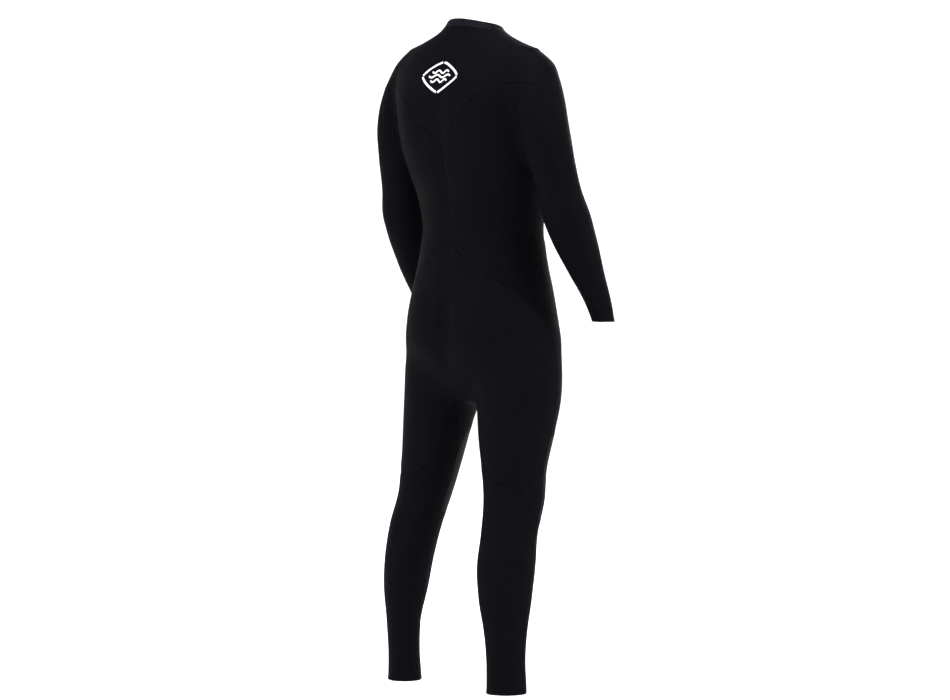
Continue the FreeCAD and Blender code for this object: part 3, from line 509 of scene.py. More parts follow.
def add_cloth(name, points, faces, flip, cloth, inner):
    """A mesh that carries its cloth coordinates and which points lie on its inner face."""
    piece = add_mesh(name, points, faces, flip)
    place = piece.data.attributes.new("cloth", "FLOAT_VECTOR", "POINT")
    place.data.foreach_set("vector", cloth.astype(np.float32).ravel())
    inside = piece.data.attributes.new("inside", "FLOAT", "POINT")
    inside.data.foreach_set("value", inner.astype(np.float32))
    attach(piece, "suit")
    return piece


def finish(piece, slot):
    piece.data.materials.append(MATERIALS[slot])


def single(name, slot, grid, normals, node=None, **facts):
    """A cloth piece that stands for the CAD node of its name, or for the node given."""
    node = node or name
    piece = sheet_piece(f"{node}_cloth", grid, normals, **facts)
    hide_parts(node)
    finish(piece, slot)


def mirrored_pair(name, slot, grid, normals, **facts):
    """A left piece and its mirror image."""
    for side, sign in (("left", 1), ("right", -1)):
        turn = np.array((sign, 1, 1))
        single(name, slot, grid * turn, normals * turn, f"{name}_{side}", **facts)


# ---- materials


class Nodes:
    """A material's nodes, made in the order they are asked for."""

    def __init__(self, name):
        self.material = bpy.data.materials.new(name)
        self.material.use_nodes = True
        self.tree = self.material.node_tree
        self.shader = self.tree.nodes["Principled BSDF"]

    def add(self, kind, inputs=(), **settings):
        node = self.tree.nodes.new(kind)
        for key, value in settings.items():
            setattr(node, key, value)
        for key, value in dict(inputs).items():
            self.set(node, key, value)
        return node

    def set(self, node, key, value):
        if isinstance(value, bpy.types.NodeSocket):
            self.tree.links.new(value, node.inputs[key])
        else:
            node.inputs[key].default_value = value

    def math(self, operation, a, b=0.0, c=0.0):
        return self.add("ShaderNodeMath", {0: a, 1: b, 2: c}, operation=operation).outputs[0]

    def noise(self, place, scale, detail=4.0):
        node = self.add("ShaderNodeTexNoise", {"Vector": place, "Scale": scale,
                                               "Detail": detail, "Roughness": 0.55})
        return node.outputs["Fac"]

    def span(self, value, low, high, start=0.0, end=1.0):
        """From start to end as value goes from low to high, and no further."""
        return self.add("ShaderNodeMapRange", {"Value": value, "From Min": low, "From Max": high,
                                               "To Min": start, "To Max": end}).outputs[0]

    def ramp(self, value, low, high, dark, light):
        """From one colour to another as value goes from low to high."""
        mix = self.add("ShaderNodeMix", {"Factor": self.span(value, low, high)},
                       data_type="RGBA")
        for key, colour in ((6, dark), (7, light)):
            given = isinstance(colour, bpy.types.NodeSocket)
            self.set(mix, key, colour if given else (*colour, 1))
        return mix.outputs[2]

    def in_object(self):
        return self.add("ShaderNodeTexCoord").outputs["Object"]

    def bump(self, height, strength, distance):
        node = self.add("ShaderNodeBump", {"Height": height, "Strength": strength,
                                           "Distance": distance})
        self.set(self.shader, "Normal", node.outputs["Normal"])


def cloth_place(nodes):
    """Distances across and along the cloth and from its edge, in millimetres."""
    place = nodes.add("ShaderNodeAttribute", attribute_name="cloth").outputs["Vector"]
    return place, nodes.add("ShaderNodeSeparateXYZ", {0: place}).outputs


LINING = (0.008, 0.008, 0.009)


def knit(name, dark, light, pitch=0.9, roughness=0.72, sheen=0.0):
    """Stretch jersey on foam: fine ribs of loops, faint wear by the seams, painted shade darkening
    the seams.
    """
    nodes = Nodes(name)
    place, (across, along, edge) = cloth_place(nodes)
    spot = nodes.in_object()
    cloud = nodes.noise(spot, 9.0)
    drawn = nodes.add("ShaderNodeVectorMath", {0: place, 1: (0.35, 0.03, 0.0)},
                      operation="MULTIPLY").outputs[0]
    streak = nodes.noise(drawn, 1.0, 3.0)
    rib = nodes.math("SINE", nodes.math("MULTIPLY", across, 2 * math.pi / pitch))
    slant = nodes.math("ABSOLUTE", rib)
    course = nodes.math("MULTIPLY_ADD", along, 2 * math.pi / (pitch * 0.8),
                        nodes.math("MULTIPLY", slant, 1.6))
    loop = nodes.math("MULTIPLY", nodes.math("SINE", course), 0.5)
    height = nodes.math("ADD", nodes.math("MULTIPLY", slant, 0.8), loop)
    grain = nodes.noise(place, 0.9, 2.0)
    height = nodes.math("ADD", height, nodes.math("MULTIPLY", grain, 0.9))
    outer = nodes.ramp(cloud, 0.3, 0.7, dark, light)
    outer = nodes.ramp(streak, 0.2, 0.85, outer, light)
    worn = nodes.math("MULTIPLY", nodes.noise(spot, 60.0, 2.0), nodes.span(edge, 7.0, 1.0))
    outer = nodes.ramp(worn, 0.25, 1.0, outer, [c * 1.9 + 0.004 for c in light])
    # Painted shade: the cloth within 3.4 mm of every panel edge darkens to a tenth of its dark tone,
    # standing for the shade in the seam grooves.
    outer = nodes.ramp(edge, 1.0, 3.4, [c * 0.1 for c in dark], outer)
    inside = nodes.add("ShaderNodeAttribute", attribute_name="inside").outputs["Fac"]
    nodes.set(nodes.shader, "Base Color", nodes.ramp(inside, 0.0, 1.0, outer, LINING))
    nodes.set(nodes.shader, "Roughness",
              nodes.span(cloud, 0.3, 0.7, roughness - 0.05, roughness + 0.07))
    nodes.shader.inputs["Sheen Weight"].default_value = sheen
    nodes.shader.inputs["Sheen Roughness"].default_value = 0.42
    nodes.shader.inputs["Sheen Tint"].default_value = (0.72, 0.72, 0.86, 1)
    nodes.shader.inputs["Specular IOR Level"].default_value = 0.02
    nodes.bump(height, 0.35, 0.00012)
    return nodes.material


def skin(name, dark, light, roughness):
    """Smooth-skin rubber with a faint talc bloom and fine pores."""
    nodes = Nodes(name)
    spot = nodes.in_object()
    cloud = nodes.noise(spot, 40.0)
    nodes.set(nodes.shader, "Base Color", nodes.ramp(cloud, 0.35, 0.7, dark, light))
    nodes.set(nodes.shader, "Roughness",
              nodes.span(cloud, 0.3, 0.7, roughness, roughness + 0.12))
    nodes.shader.inputs["Specular IOR Level"].default_value = 0.14
    nodes.bump(nodes.noise(spot, 1500.0, 2.0), 0.25, 0.0001)
    return nodes.material


def tape_cloth(name, dark, light, pitch):
    """Bonded or coated tape: a close plain weave, with pressed edges."""
    nodes = Nodes(name)
    across, along, edge = cloth_place(nodes)[1]
    warp = nodes.math("SINE", nodes.math("MULTIPLY", across, 2 * math.pi / pitch))
    weft = nodes.math("SINE", nodes.math("MULTIPLY", along, 2 * math.pi / pitch))
    cloud = nodes.noise(nodes.in_object(), 30.0)
    nodes.set(nodes.shader, "Base Color", nodes.ramp(cloud, 0.3, 0.7, dark, light))
    nodes.set(nodes.shader, "Roughness", nodes.span(edge, 0.0, 1.6, 0.38, 0.62))
    nodes.shader.inputs["Specular IOR Level"].default_value = 0.12
    nodes.bump(nodes.math("MULTIPLY", warp, weft), 0.4, 0.0001)
    return nodes.material


def moulded(name, dark, light, roughness, coat=0.0):
    """Moulded plastic, or metal under a black coat, a little scuffed."""
    nodes = Nodes(name)
    spot = nodes.in_object()
    scuff = nodes.noise(spot, 220.0, 5.0)
    nodes.set(nodes.shader, "Base Color", nodes.ramp(scuff, 0.45, 0.75, dark, light))
    nodes.set(nodes.shader, "Roughness",
              nodes.span(scuff, 0.4, 0.75, roughness, roughness + 0.2))
    nodes.shader.inputs["Specular IOR Level"].default_value = 0.16
    nodes.shader.inputs["Coat Weight"].default_value = coat
    nodes.bump(nodes.noise(spot, 900.0, 2.0), 0.2, 0.00008)
    return nodes.material


def ink(name, dark, light):
    """Flexible print on jersey: the knit shows through it, and it is patchy."""
    nodes = Nodes(name)
    across = cloth_place(nodes)[1][0]
    patchy = nodes.noise(nodes.in_object(), 420.0)
    nodes.set(nodes.shader, "Base Color", nodes.ramp(patchy, 0.36, 0.52, dark, light))
    nodes.shader.inputs["Roughness"].default_value = 0.5
    rib = nodes.math("SINE", nodes.math("MULTIPLY", across, 2 * math.pi / 0.9))
    nodes.bump(nodes.math("ADD", rib, patchy), 0.3, 0.0001)
    return nodes.material


MATERIALS = {
    "neoprene": knit("neoprene", (0.0008, 0.0007, 0.0013), (0.0017, 0.0015, 0.0026),
                     sheen=0.002),
    "torso_neoprene": knit("torso_neoprene", (0.0006, 0.0006, 0.0011), (0.0013, 0.0012, 0.0021),
                           pitch=0.8, roughness=0.66),
    "knee_rubber": knit("knee_rubber", (0.0009, 0.0009, 0.0014), (0.0017, 0.0017, 0.0024),
                        pitch=1.4, roughness=0.58),
    # Painted light: the collar is a lighter copy of the neoprene, standing for the light that falls
    # on the top of the collar.
    "collar_neoprene": knit("collar_neoprene", (0.0024, 0.0022, 0.0034),
                            (0.0046, 0.0043, 0.0062), pitch=0.7, sheen=0.01),
    "inner_neoprene": knit("inner_neoprene", LINING, (0.012, 0.012, 0.013), pitch=0.7),
    "seal_rubber": skin("seal_rubber", (0.003, 0.003, 0.0034), (0.006, 0.006, 0.0066), 0.42),
    "seam_tape": tape_cloth("seam_tape", (0.006, 0.006, 0.007), (0.010, 0.010, 0.012), 0.8),
    "zip_tape": tape_cloth("zip_tape", (0.002, 0.002, 0.0026), (0.004, 0.004, 0.0046), 0.7),
    "zip_plastic": moulded("zip_plastic", (0.005, 0.005, 0.0056), (0.011, 0.011, 0.012), 0.4),
    "slider_metal": moulded("slider_metal", (0.006, 0.006, 0.0066), (0.03, 0.03, 0.032), 0.32,
                            coat=0.15),
    "pull_plastic": moulded("pull_plastic", (0.005, 0.005, 0.0056), (0.014, 0.014, 0.015), 0.45),
    "print": ink("print", (0.35, 0.35, 0.37), (0.82, 0.83, 0.85)),
    "thread": moulded("thread", (0.0002, 0.0002, 0.0003), (0.0008, 0.0008, 0.001), 0.8),
}


# ---- pieces


def make_collar():
    for name, first, last in (("collar_back", 0, NECK_SIDE), ("collar_front", NECK_SIDE, 180)):
        edges = [line(settle(collar_seam(a))[0], settle(collar_top(a))[0])
                 for a in (first, last)]
        if first:
            edges.reverse()
            first, last = last, first
        grid, normals = patch(*edges, ring(collar_seam, first, last),
                              ring(collar_top, first, last), across=9, along=4, middle="left")
        single(name, "collar_neoprene", grid, normals, hems=("top",))


def make_yoke():
    centre = line(settle(BACK_POINT)[0], settle(collar_seam(0))[0])
    guides = [Seam((85, 139, 1250), (80, 120, 1335), (65, 92, 1395), collar_seam(32)),
              Seam((180, 97, 1300), (165, 75, 1352), (120, 60, 1388), collar_seam(65)),
              Seam((256, 50, 1255), (243, 40, 1290), (205, 28, 1348), (140, 20, 1385),
                   collar_seam(98))]
    grid, normals = patch(centre, YOKE_FRONT, YOKE_BACK.part(0, AT_ARM_POINT),
                          ring(collar_seam, 0, NECK_FRONT), guides, 21, 15, "left")
    single("shoulder_yoke", "neoprene", grid, normals)


def make_back():
    guides = [Seam((60, 101, 922), torso(31, 1000), torso(33, 1090), torso(33, 1180),
                   (80, 140, 1248)),
              Seam((118, 84, 886), torso(60, 970), torso(62, 1060), torso(63, 1170),
                   (145, 112, 1297))]
    grid, normals = patch(CENTRE_BACK, BACK_SIDE.part(-1, 0), SEAT.part(0, AT_HIP),
                          YOKE_BACK.part(0, AT_SHOULDER), guides, 11, 17)
    mirrored_pair("back_panel", "torso_neoprene", grid, normals)


def make_seat():
    centre = Seam(CROTCH_BACK, (0, 112, 768), (0, 112, 833), (0, 104, 897), WAIST_POINT)
    guides = [Seam((0, 112, 768), (50, 124, 742), leg(-32, 660), leg(-38, 580), leg(-41, 472)),
              Seam((0, 112, 833), (70, 130, 805), (98, 118, 720), leg(2, 620), leg(8, 453)),
              Seam((0, 104, 897), (88, 106, 862), (148, 82, 780), leg(50, 660), leg(58, 428))]
    grid, normals = patch(INSEAM_BACK, SEAT.part(0, AT_KNEE_BACK), centre, KNEE_BACK, guides,
                          15, 21, "bottom")
    single("seat_panel", "neoprene", grid, normals)


def make_gusset():
    centre = Seam(CROTCH_FRONT, (0, -57, 624), (0, 10, 615), (0, 70, 627), CROTCH_BACK)
    midway = (INSEAM_FRONT.points[:AT_GUSSET_TIP + 1]
              + INSEAM_BACK.points[:AT_GUSSET_TIP + 1]) / 2
    middle = Seam((0, 10, 615), (20, 11, 610), *[tuple(p) for p in midway[2:]])
    tip = line(INSEAM_FRONT.points[AT_GUSSET_TIP], INSEAM_BACK.points[AT_GUSSET_TIP])
    rows = range(AT_GUSSET_TIP + 1)
    grid, normals = patch(INSEAM_FRONT.steps(*rows), INSEAM_BACK.steps(*rows), centre, tip,
                          [middle.steps(*rows)], 9, 15, "bottom")
    single("crotch_gusset", "neoprene", grid, normals)


def make_front():
    guide = Seam(zip_point(95, 0, ZIP_SLOT), (62, -55, 1340), collar_seam(155))
    grid, normals = patch(
        line(zip_edge(1)(np.array(0.0)), settle(collar_seam(180))[0]),
        YOKE_FRONT.part(AT_FRONT_SHOULDER, -1), zip_edge(1), ring(collar_seam, 180, NECK_FRONT),
        [guide], 15, 9, "left")
    single("front_bib", "torso_neoprene", grid, normals)
    guides = [Seam((75, -106, 1053), torso(140, 1150), (85, -108, 1215),
                   zip_point(70, 0, -ZIP_SLOT)),
              Seam((140, -70, 1080), torso(118, 1140), (148, -76, 1210), (145, -62, 1272))]
    grid, normals = patch(
        Seam(BREAST, (0, -112, 1120), (0, -110, 1200), tuple(zip_edge(-1)(np.array(0.0)))),
        ARMHOLE_FRONT, BREAST_SEAM, zip_edge(-1), guides, 17, 11, "left")
    single("chest_panel", "torso_neoprene", grid, normals)
    guides = [Seam((62, -114, 722), (78, -118, 800), torso(147, 920), (75, -106, 1053)),
              Seam((128, -92, 775), torso(120, 850), torso(118, 950), (140, -70, 1080))]
    grid, normals = patch(
        Seam(CROTCH_FRONT, (0, -118, 760), (0, -120, 850), (0, -110, 950), BREAST),
        BACK_SIDE.part(-1, AT_ARMPIT), GROIN, BREAST_SEAM, guides, 13, 15, "left")
    single("abdomen_panel", "neoprene", grid, normals)


def make_legs():
    guides = [Seam(leg(145, 558), leg(145, 640), leg(142, 720), (165, -45, 800)),
              Seam(leg(182, 562), leg(182, 640), leg(178, 705), (110, -105, 764)),
              Seam(leg(220, 558), leg(218, 620), leg(212, 670), (52, -110, 718))]
    mirrored_pair("front_thigh", "neoprene", *patch(
        SEAT.part(AT_KNEE_TOP, AT_HIP), INSEAM_FRONT.part(AT_FRONT_KNEE_TOP, 0), KNEE_TOP,
        GROIN.part(-1, 0), guides, 13, 15))
    front = (106, 372), (106, 430), (107, 490), (107, 548)
    inner = (270, 372), (270, 430), (269, 490), (258, 548)
    mirrored_pair("knee_pad", "knee_rubber", *patch(
        SEAT.part(AT_KNEE_LOW, AT_KNEE_TOP),
        join(INSEAM.part(AT_SHIN, 0), INSEAM_FRONT.part(-1, AT_FRONT_KNEE_TOP), 0.68),
        KNEE_LOW, KNEE_TOP, spread(leg, front, inner, 3), 13, 11), puff=0.5)
    front = [(105, z) for z in (0, 90, 180, 280, 372)]
    inner = [(270, z) for z in (0, 90, 180, 280, 372)]
    mirrored_pair("shin_panel", "neoprene", *patch(
        SEAT.part(-1, AT_KNEE_LOW), INSEAM.part(-1, AT_SHIN), arc(leg, 105, 270, 0),
        KNEE_LOW, spread(leg, front, inner, 3), 11, 15), hems=("bottom",))
    inner = (-90, 0), (-90, 120), (-90, 240), (-90, 360), (-90, 492)
    outer = (105, 0), (105, 100), (105, 200), (106, 300), (106, 400)
    mirrored_pair("calf_panel", "neoprene", *patch(
        INSEAM.part(-1, 0), SEAT.part(-1, AT_KNEE_BACK), arc(leg, -90, 105, 0),
        KNEE_BACK, spread(leg, inner, outer, 3), 11, 17), hems=("bottom",))


def make_sleeves():
    wrist = WRIST_HEIGHT
    under = [(-78, 1112), (-86, 1098), *[(-90, z) for z in UNDERARM_HEIGHTS]]
    outer = [(7, 1302), (58, 1284), (77, 1227), (87, 1172), (98, 1141), (118, 1090), (136, 1030),
             (142, 975), (120, 925), (50, 880), (18, 840), (10, wrist)]
    rows = range(AT_SHOULDER, len(YOKE_BACK.points))
    armhole = BACK_SIDE.part(AT_ARMPIT, 0)
    mirrored_pair("sleeve_back", "neoprene", *patch(
        UNDERARM, YOKE_BACK.steps(*rows), armhole, arc(arm, -90, 10, wrist),
        spread(arm, under, outer, 3, armhole), 13, 34), hems=("top",))
    outer[:5] = (185, 1292), (155, 1238), (146, 1188), (98, 1141)
    under = [(280, 1112), *[(270, z) for z in UNDERARM_HEIGHTS]]
    upper, lower = YOKE_FRONT.steps(4, 3, 2, 0), YOKE_BACK.steps(*rows[4:])
    armhole = ARMHOLE_FRONT.part(-1, 0)
    mirrored_pair("sleeve_front", "neoprene", *patch(
        join(upper, lower, 0.3), UNDERARM, armhole, arc(arm, 10, 270, wrist),
        spread(arm, outer, under, 4, armhole), 17, 31), hems=("top",))


def strip(stretch, width, count, rows=5):
    """Grid of a ribbon of the given width along a line on the form."""
    t = np.linspace(0, 1, count)
    middle, normals = settle(stretch(t))
    along = np.gradient(middle, axis=0)
    side = np.cross(along, normals)
    side *= width / 2 / np.linalg.norm(side, axis=-1, keepdims=True)
    shares = np.linspace(-1, 1, rows)[:, None, None]
    return settle(middle + side * shares)


def between(stretch, start, end):
    return lambda t: stretch(start + (end - start) * np.asarray(t))


def make_tapes():
    """Bonded strips on the inside of the seams."""
    def ribbon(stretch):
        length = np.linalg.norm(np.diff(stretch(np.linspace(0, 1, 60)), axis=0), axis=1).sum()
        return strip(stretch, TAPE_WIDTH, int(length / 7) + 4)

    facts = {"thick": TAPE_THICK, "depth": NEOPRENE + LINER_GAP, "puff": 0}
    single("centre_back_tape", "seam_tape", *ribbon(between(CENTRE_BACK, 0.06, 0.94)), **facts)
    for name, stretch in (
            ("side_tape", between(BACK_SIDE.part(AT_ARMPIT, -1), 0.1, 0.92)),
            ("seat_tape", between(SEAT.part(0, AT_HIP), 0.06, 0.92)),
            ("outer_leg_tape", between(SEAT.part(AT_HIP, -1), 0.03, 0.97)),
            ("inseam_tape", join(between(INSEAM_BACK, 0.2, 1.0),
                                 between(INSEAM, 0.0, 0.96), 0.28)),
            ("yoke_tape", between(YOKE_BACK.part(0, AT_SHOULDER), 0.07, 0.93)),
            ("sleeve_tape", between(UNDERARM, 0.08, 0.9))):
        mirrored_pair(name, "seam_tape", *ribbon(stretch), **facts)


def seal(name, node, middle, axis, radius, sign=1):
    """Round smooth-skin ring, joined to the panels round it by a thin skirt."""
    axis = np.array(axis, float) / np.linalg.norm(axis)
    first = np.cross(axis, (0, 1, 0))
    first /= np.linalg.norm(first)
    second = np.cross(axis, first)
    turns = np.linspace(0, 2 * math.pi, SEAL_POINTS + 1)[:-1]
    radial = np.cos(turns)[:, None] * first + np.sin(turns)[:, None] * second
    even = np.ones(SEAL_POINTS)
    low, high = even * (radius + 2.0), even * (radius + 70.0)
    for _ in range(24):
        reach = (low + high) / 2
        here = middle + radial * reach[:, None] + axis * SEAL_SKIRT
        within = outside(here) < -(NEOPRENE + 0.8)
        low, high = np.where(within, reach, low), np.where(within, high, reach)
    half, wall = 6.0, 1.5
    profile = [(even * (radius + r), h) for r, h in (
        (0, 0.5 - half), (0, 0), (0, half - 0.5), (0.3, half), (1.1, half), (wall, half - 0.5))]
    for share, rise in ((0.0, 0.5), (0.35, 0.8), (0.7, 0.7), (1.0, 0.3), (1.0, -0.3),
                        (0.7, 0.1), (0.35, 0.1), (0.0, -0.5)):
        reach = radius + wall + (low - radius - wall) * share
        profile.append((reach, SEAL_SKIRT + rise - 0.2))
    profile += [(even * (radius + r), h) for r, h in (
        (wall, 0.5 - half), (1.1, -half), (0.3, -half))]
    grid = np.stack([middle + radial * reach[:, None] + axis * h for reach, h in profile])
    index = np.arange(len(grid) * SEAL_POINTS).reshape(-1, SEAL_POINTS)
    faces = np.stack([index, np.roll(index, -1, 0), np.roll(np.roll(index, -1, 0), -1, 1),
                      np.roll(index, -1, 1)], -1).reshape(-1, 4).tolist()
    piece = add_cloth(name, grid.reshape(-1, 3) * (sign, 1, 1), faces, sign > 0,
                      np.zeros((index.size, 3)), np.zeros(index.size))
    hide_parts(node)
    finish(piece, "seal_rubber")


def make_seals():
    seal("neck_seal_skin", "neck_seal", ORIGIN, (0, -NECK_RISE, 1), 46.5)
    ankle_height, wrist_height = 8, WRIST_HEIGHT + 16
    ankle, wrist = LEG(np.array(float(ankle_height))), ARM(np.array(wrist_height))
    low, high = ARM(np.array(WRIST_HEIGHT + 4)), ARM(np.array(WRIST_HEIGHT + 34))
    for side, sign in (("left", 1), ("right", -1)):
        seal(f"ankle_seal_skin_{side}", f"ankle_seal_{side}",
             np.array((*ankle[:2], ankle_height)), (0, 0, 1), 31.0, sign)
        seal(f"wrist_seal_skin_{side}", f"wrist_seal_{side}",
             np.array((*wrist[:2], wrist_height)), (*(high - low)[:2], 30), 18.0, sign)


def along_zip(places):
    """A stretch on the form over the zip's arc."""
    return Seam(*[zip_point(s, 0, up) for s, up in places])


def refined(node, name, slot, body, width):
    """A CAD piece with its sharp edges rounded."""
    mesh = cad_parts[node].data.copy()
    mesh.materials.clear()
    shape = bmesh.new()
    shape.from_mesh(mesh)
    bmesh.ops.remove_doubles(shape, verts=shape.verts, dist=1e-6)
    bmesh.ops.dissolve_limit(shape, angle_limit=0.02, verts=shape.verts, edges=shape.edges)
    sharp = [e for e in shape.edges if len(e.link_faces) == 2 and e.calc_face_angle() > SHARP]
    bmesh.ops.bevel(shape, geom=sharp, offset=width / 1000, segments=2, profile=0.6,
                    affect="EDGES", clamp_overlap=True)
    shape.to_mesh(mesh)
    shape.free()
    mesh.shade_smooth()
    mesh.set_sharp_from_angle(angle=SHARP)
    piece = add_object(name, mesh)
    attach(piece, body)
    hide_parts(node)
    finish(piece, slot)


def make_zip():
    for name, side in (("upper", 1), ("lower", -1)):
        stretch = along_zip([(s, side * 9.5) for s in (-114, -76, -38, 0, 38, 76, 114)])
        grid, normals = strip(stretch, 16, 60, rows=7)
        single(f"zip_tape_{name}", "zip_tape", grid, normals, thick=0.8,
               depth=NEOPRENE + ZIP_TAPE_GAP, puff=0)
        refined(f"zip_teeth_{name}", f"zip_chain_{name}", "zip_plastic", "suit", 0.25)
    stretch = along_zip([(s, 0) for s in (-118, -80, -40, 0, 40, 80, 118)])
    grid, normals = strip(stretch, 34, 60, rows=11)
    single("zip_flap", "inner_neoprene", grid, normals, thick=1.5, depth=9.5, puff=0)
    refined("zip_stop_closed", "zip_end_closed", "zip_plastic", "suit", 0.4)
    refined("zip_stop_open", "zip_end_open", "zip_plastic", "suit", 0.4)
    refined("zip_slider", "zip_slider_body", "slider_metal", "slider", 0.3)
    refined("zip_pull_tab", "zip_tab", "pull_plastic", "pull_tab", 0.5)


def make_grips():
    """Four bars across the pull tab, for the fingers."""
    count, pitch, half_long, half_wide = 4, 4, 3.6, 0.9
    first = -ZIP_TRAVEL_HALF - 15
    turn = (first - 5) / ZIP_RADIUS
    out = np.array((math.sin(turn), 0, 0)) + ZIP_OUT * math.cos(turn)
    along = np.cross(out, ZIP_UP)
    shape = bmesh.new()
    for k in range(count):
        here = np.array(zip_point(first - pitch * k, 4.9, 0))
        corners = [here + along * a * half_wide * w + ZIP_UP * u * half_long + out * rise
                   for rise, w in ((-0.2, 1.0), (0.25, 1.0), (0.5, 0.45))
                   for a, u in ((-1, -1), (1, -1), (1, 1), (-1, 1))]
        made = [shape.verts.new(Vector((c - ORIGIN) / 1000)) for c in corners]
        shape.faces.new(made[3::-1])
        shape.faces.new(made[8:12])
        for low in (0, 4):
            for j in range(4):
                n = (j + 1) % 4
                shape.faces.new([made[low + i] for i in (j, n, 4 + n, 4 + j)])
    bmesh.ops.recalc_face_normals(shape, faces=shape.faces)
    mesh = bpy.data.meshes.new("zip_tab_grips")
    shape.to_mesh(mesh)
    shape.free()
    grips = add_object("zip_tab_grips", mesh)
    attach(grips, "pull_tab")
    finish(grips, "pull_plastic")


def make_emblem():
    """Printed badge on the yoke: a rounded lozenge round three waves."""
    middle, behind = 1318.0, 128.0
    half_wide, half_tall, power = 52, 36, 1.3

    def lozenge(start, end):
        def stretch(t):
            turn = 2 * math.pi * (start + (end - start) * t)
            c, s = np.cos(turn), np.sin(turn)
            reach = (np.abs(c) ** power + np.abs(s) ** power) ** (-1 / power)
            return np.stack([half_wide * c * reach, np.full(t.shape, behind),
                             middle + half_tall * s * reach], -1)
        return stretch, 4.5

    def wave(height, half):
        def stretch(t):
            return np.stack([-half + 2 * half * t, np.full(t.shape, behind),
                             middle + height + 3.5 * np.sin(4 * math.pi * t)], -1)
        return stretch, 3.6

    lines = [lozenge((k + 0.03) / 4, (k + 0.97) / 4) for k in range(4)]
    lines += [wave(height, half) for height, half in ((11, 24), (0, 32), (-11, 24))]
    bpy.ops.object.select_all(action="DESELECT")
    for number, (stretch, width) in enumerate(lines):
        piece = sheet_piece(f"badge_{number}", *strip(stretch, width, 48, rows=7), thick=0.4,
                            depth=-0.6, puff=0)
        piece.select_set(True)
    bpy.context.view_layer.objects.active = bpy.data.objects["badge_0"]
    bpy.ops.object.join()
    badge = bpy.context.view_layer.objects.active
    badge.name = "badge_print"
    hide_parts("back_emblem")
    finish(badge, "print")


def stitches(name, stretch, mirror=True):
    """Short slanting threads over a seam."""
    t = np.linspace(0, 1, 200)
    steps = np.linalg.norm(np.diff(stretch(t), axis=0), axis=1)
    reach = np.concatenate([[0], np.cumsum(steps)])
    count = max(int((reach[-1] - 6) / STITCH_PITCH), 2)
    t = np.interp(np.linspace(3, reach[-1] - 3, count), reach, t)
    middle, normals = settle(stretch(t))
    along = np.gradient(middle, axis=0)
    along /= np.linalg.norm(along, axis=-1, keepdims=True)
    side = np.cross(along, normals)
    side /= np.linalg.norm(side, axis=-1, keepdims=True)
    run = side * math.cos(0.7) + along * math.sin(0.7)
    across = np.cross(run, normals)
    middle = middle + normals * creased(middle)[:, None]
    sides = 6
    rings = []
    for place, height, radius in ((-1.9, -0.35, 0.12), (-1.5, 0.1, 0.26), (-0.5, 0.26, 0.3),
                                  (0.5, 0.26, 0.3), (1.5, 0.1, 0.26), (1.9, -0.35, 0.12)):
        for k in range(sides):
            turn = 2 * math.pi * k / sides
            rings.append(middle + run * place + normals * (height + radius * math.sin(turn))
                         + across * radius * math.cos(turn))
    size = len(rings)
    points = np.stack(rings, 1)
    faces = [(r + k, r + (k + 1) % sides, r + sides + (k + 1) % sides, r + sides + k)
             for r in range(0, size - sides, sides) for k in range(sides)]
    faces += [tuple(range(sides - 1, -1, -1)), tuple(range(size - sides, size))]
    every = [tuple(v + size * i for v in face) for i in range(count) for face in faces]
    for tag, sign in ((("_left", 1), ("_right", -1)) if mirror else (("", 1),)):
        piece = add_mesh(name + tag, points.reshape(-1, 3) * (sign, 1, 1), every, sign > 0)
        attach(piece, "suit")
        piece.data.materials.append(MATERIALS["thread"])


def make_stitches():
    stitches("thread_centre_back", CENTRE_BACK, mirror=False)
    for name, seam in (
            ("yoke_back", YOKE_BACK), ("yoke_front", YOKE_FRONT), ("side", BACK_SIDE),
            ("armhole", ARMHOLE_FRONT), ("seat", SEAT), ("inseam_back", INSEAM_BACK),
            ("inseam_front", INSEAM_FRONT), ("inseam", INSEAM), ("groin", GROIN),
            ("breast", BREAST_SEAM), ("knee_back", KNEE_BACK), ("knee_top", KNEE_TOP),
            ("knee_low", KNEE_LOW), ("underarm", UNDERARM)):
        stitches(f"thread_{name}", seam)
    stitches("thread_collar", ring(collar_seam, 0, 180))
    stitches("thread_bib", between(zip_edge(1), 0.62, 1.0))


# ---- camera, lights and floor


def soft_light(name, place, power, target=(0, 0, -0.4), size=1.6):
    light = bpy.data.lights.new(name, "AREA")
    light.shape, light.size, light.energy = "DISK", size, power
    lamp = add_object(name, light)
    lamp.location = Vector(place)
    lamp.rotation_euler = (Vector(target) - Vector(place)).to_track_quat("-Z", "Y").to_euler()


def make_lights():
    world = bpy.data.worlds.new("studio")
    world.use_nodes = True
    world.node_tree.nodes["Background"].inputs[0].default_value = (1, 1, 1, 1)
    world.node_tree.nodes["Background"].inputs[1].default_value = 0.35
    bpy.context.scene.world = world
    bpy.context.scene.view_settings.view_transform = "Standard"
    soft_light("key", (-0.2, 5.0, 2.6), 175)
    soft_light("side", (1.6, 5.0, 0.6), 110)
    soft_light("rim", (-4.6, -2.6, 1.4), 210, size=1.2)
    soft_light("top", (-0.8, 0.5, 3.2), 230, target=(0, 0, 0))
    soft_light("front", (2.0, -5.0, 1.2), 170, size=2.4)


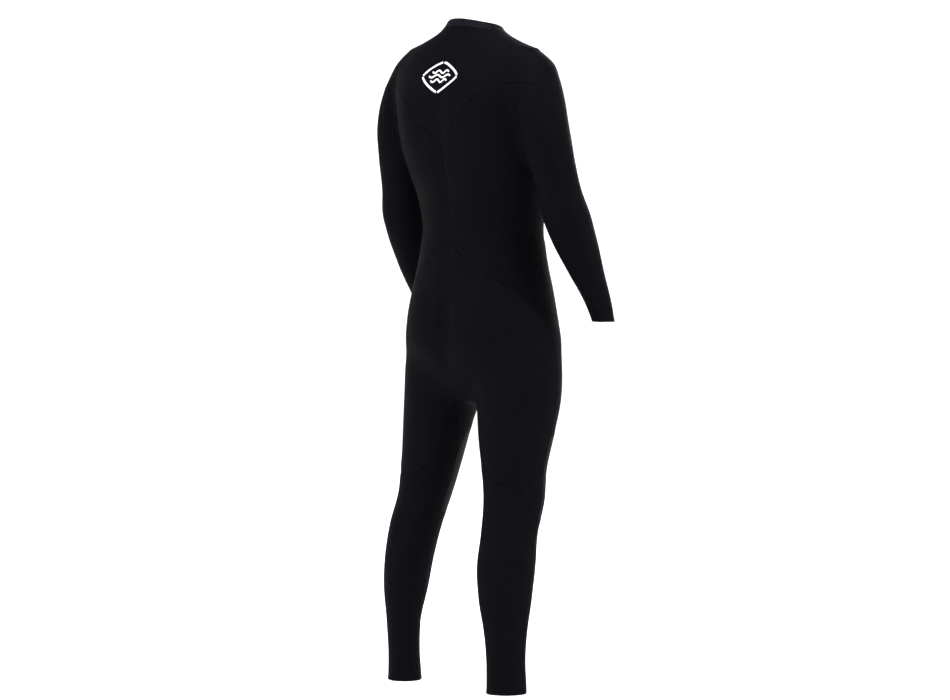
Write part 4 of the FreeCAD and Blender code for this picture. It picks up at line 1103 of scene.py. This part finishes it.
def make_floor():
    """White floor just under the hems, curving up into a wall all round."""
    level, around = -ORIGIN[2] / 1000 - 0.001, 72
    rows = [(2.0, 0.0), (5.0, 0.0), (9.0, 0.0)]
    rows += [(9 + 3 * math.sin(a), 3 - 3 * math.cos(a)) for a in np.linspace(0.15, 1.5, 9)]
    rows += [(12.05, 5.0), (12.05, 7.0)]
    turns = np.linspace(0, 2 * math.pi, around + 1)[:-1]
    points = [(0.0, 0.0, level)]
    points += [(reach * math.cos(a), reach * math.sin(a), level + height)
               for reach, height in rows for a in turns]
    faces = [(0, 1 + k, 1 + (k + 1) % around) for k in range(around)]
    for start in range(1, len(points) - around, around):
        faces += [(start + k, start + around + k, start + around + (k + 1) % around,
                   start + (k + 1) % around) for k in range(around)]
    mesh = bpy.data.meshes.new("studio_floor")
    mesh.from_pydata(points, [], faces)
    mesh.shade_smooth()
    nodes = Nodes("studio_white")
    nodes.shader.inputs["Base Color"].default_value = (0.9, 0.9, 0.9, 1)
    nodes.shader.inputs["Roughness"].default_value = 0.9
    nodes.shader.inputs["Specular IOR Level"].default_value = 0.0
    nodes.shader.inputs["Emission Color"].default_value = (1, 1, 1, 1)
    nodes.shader.inputs["Emission Strength"].default_value = 0.42
    mesh.materials.append(nodes.material)
    add_object("studio_floor", mesh)


def make_camera():
    """A long lens behind the wearer's right shoulder."""
    camera = bpy.data.cameras.new("camera")
    camera.lens, camera.sensor_width = 139.66, 36
    camera.shift_x = -0.00737
    camera.clip_end = 100
    eye = add_object("camera", camera)
    eye.location = Vector(((-5656.9, 5656.9, 1150) - ORIGIN) / 1000)
    target = Vector(((0, 0, 726) - ORIGIN) / 1000)
    eye.rotation_euler = (target - eye.location).to_track_quat("-Z", "Y").to_euler()
    bpy.context.scene.camera = eye


make_collar()
make_yoke()
make_back()
make_seat()
make_gusset()
make_front()
make_legs()
make_sleeves()
make_tapes()
make_seals()
make_zip()
make_grips()
make_emblem()
make_stitches()
make_floor()
make_lights()
make_camera()
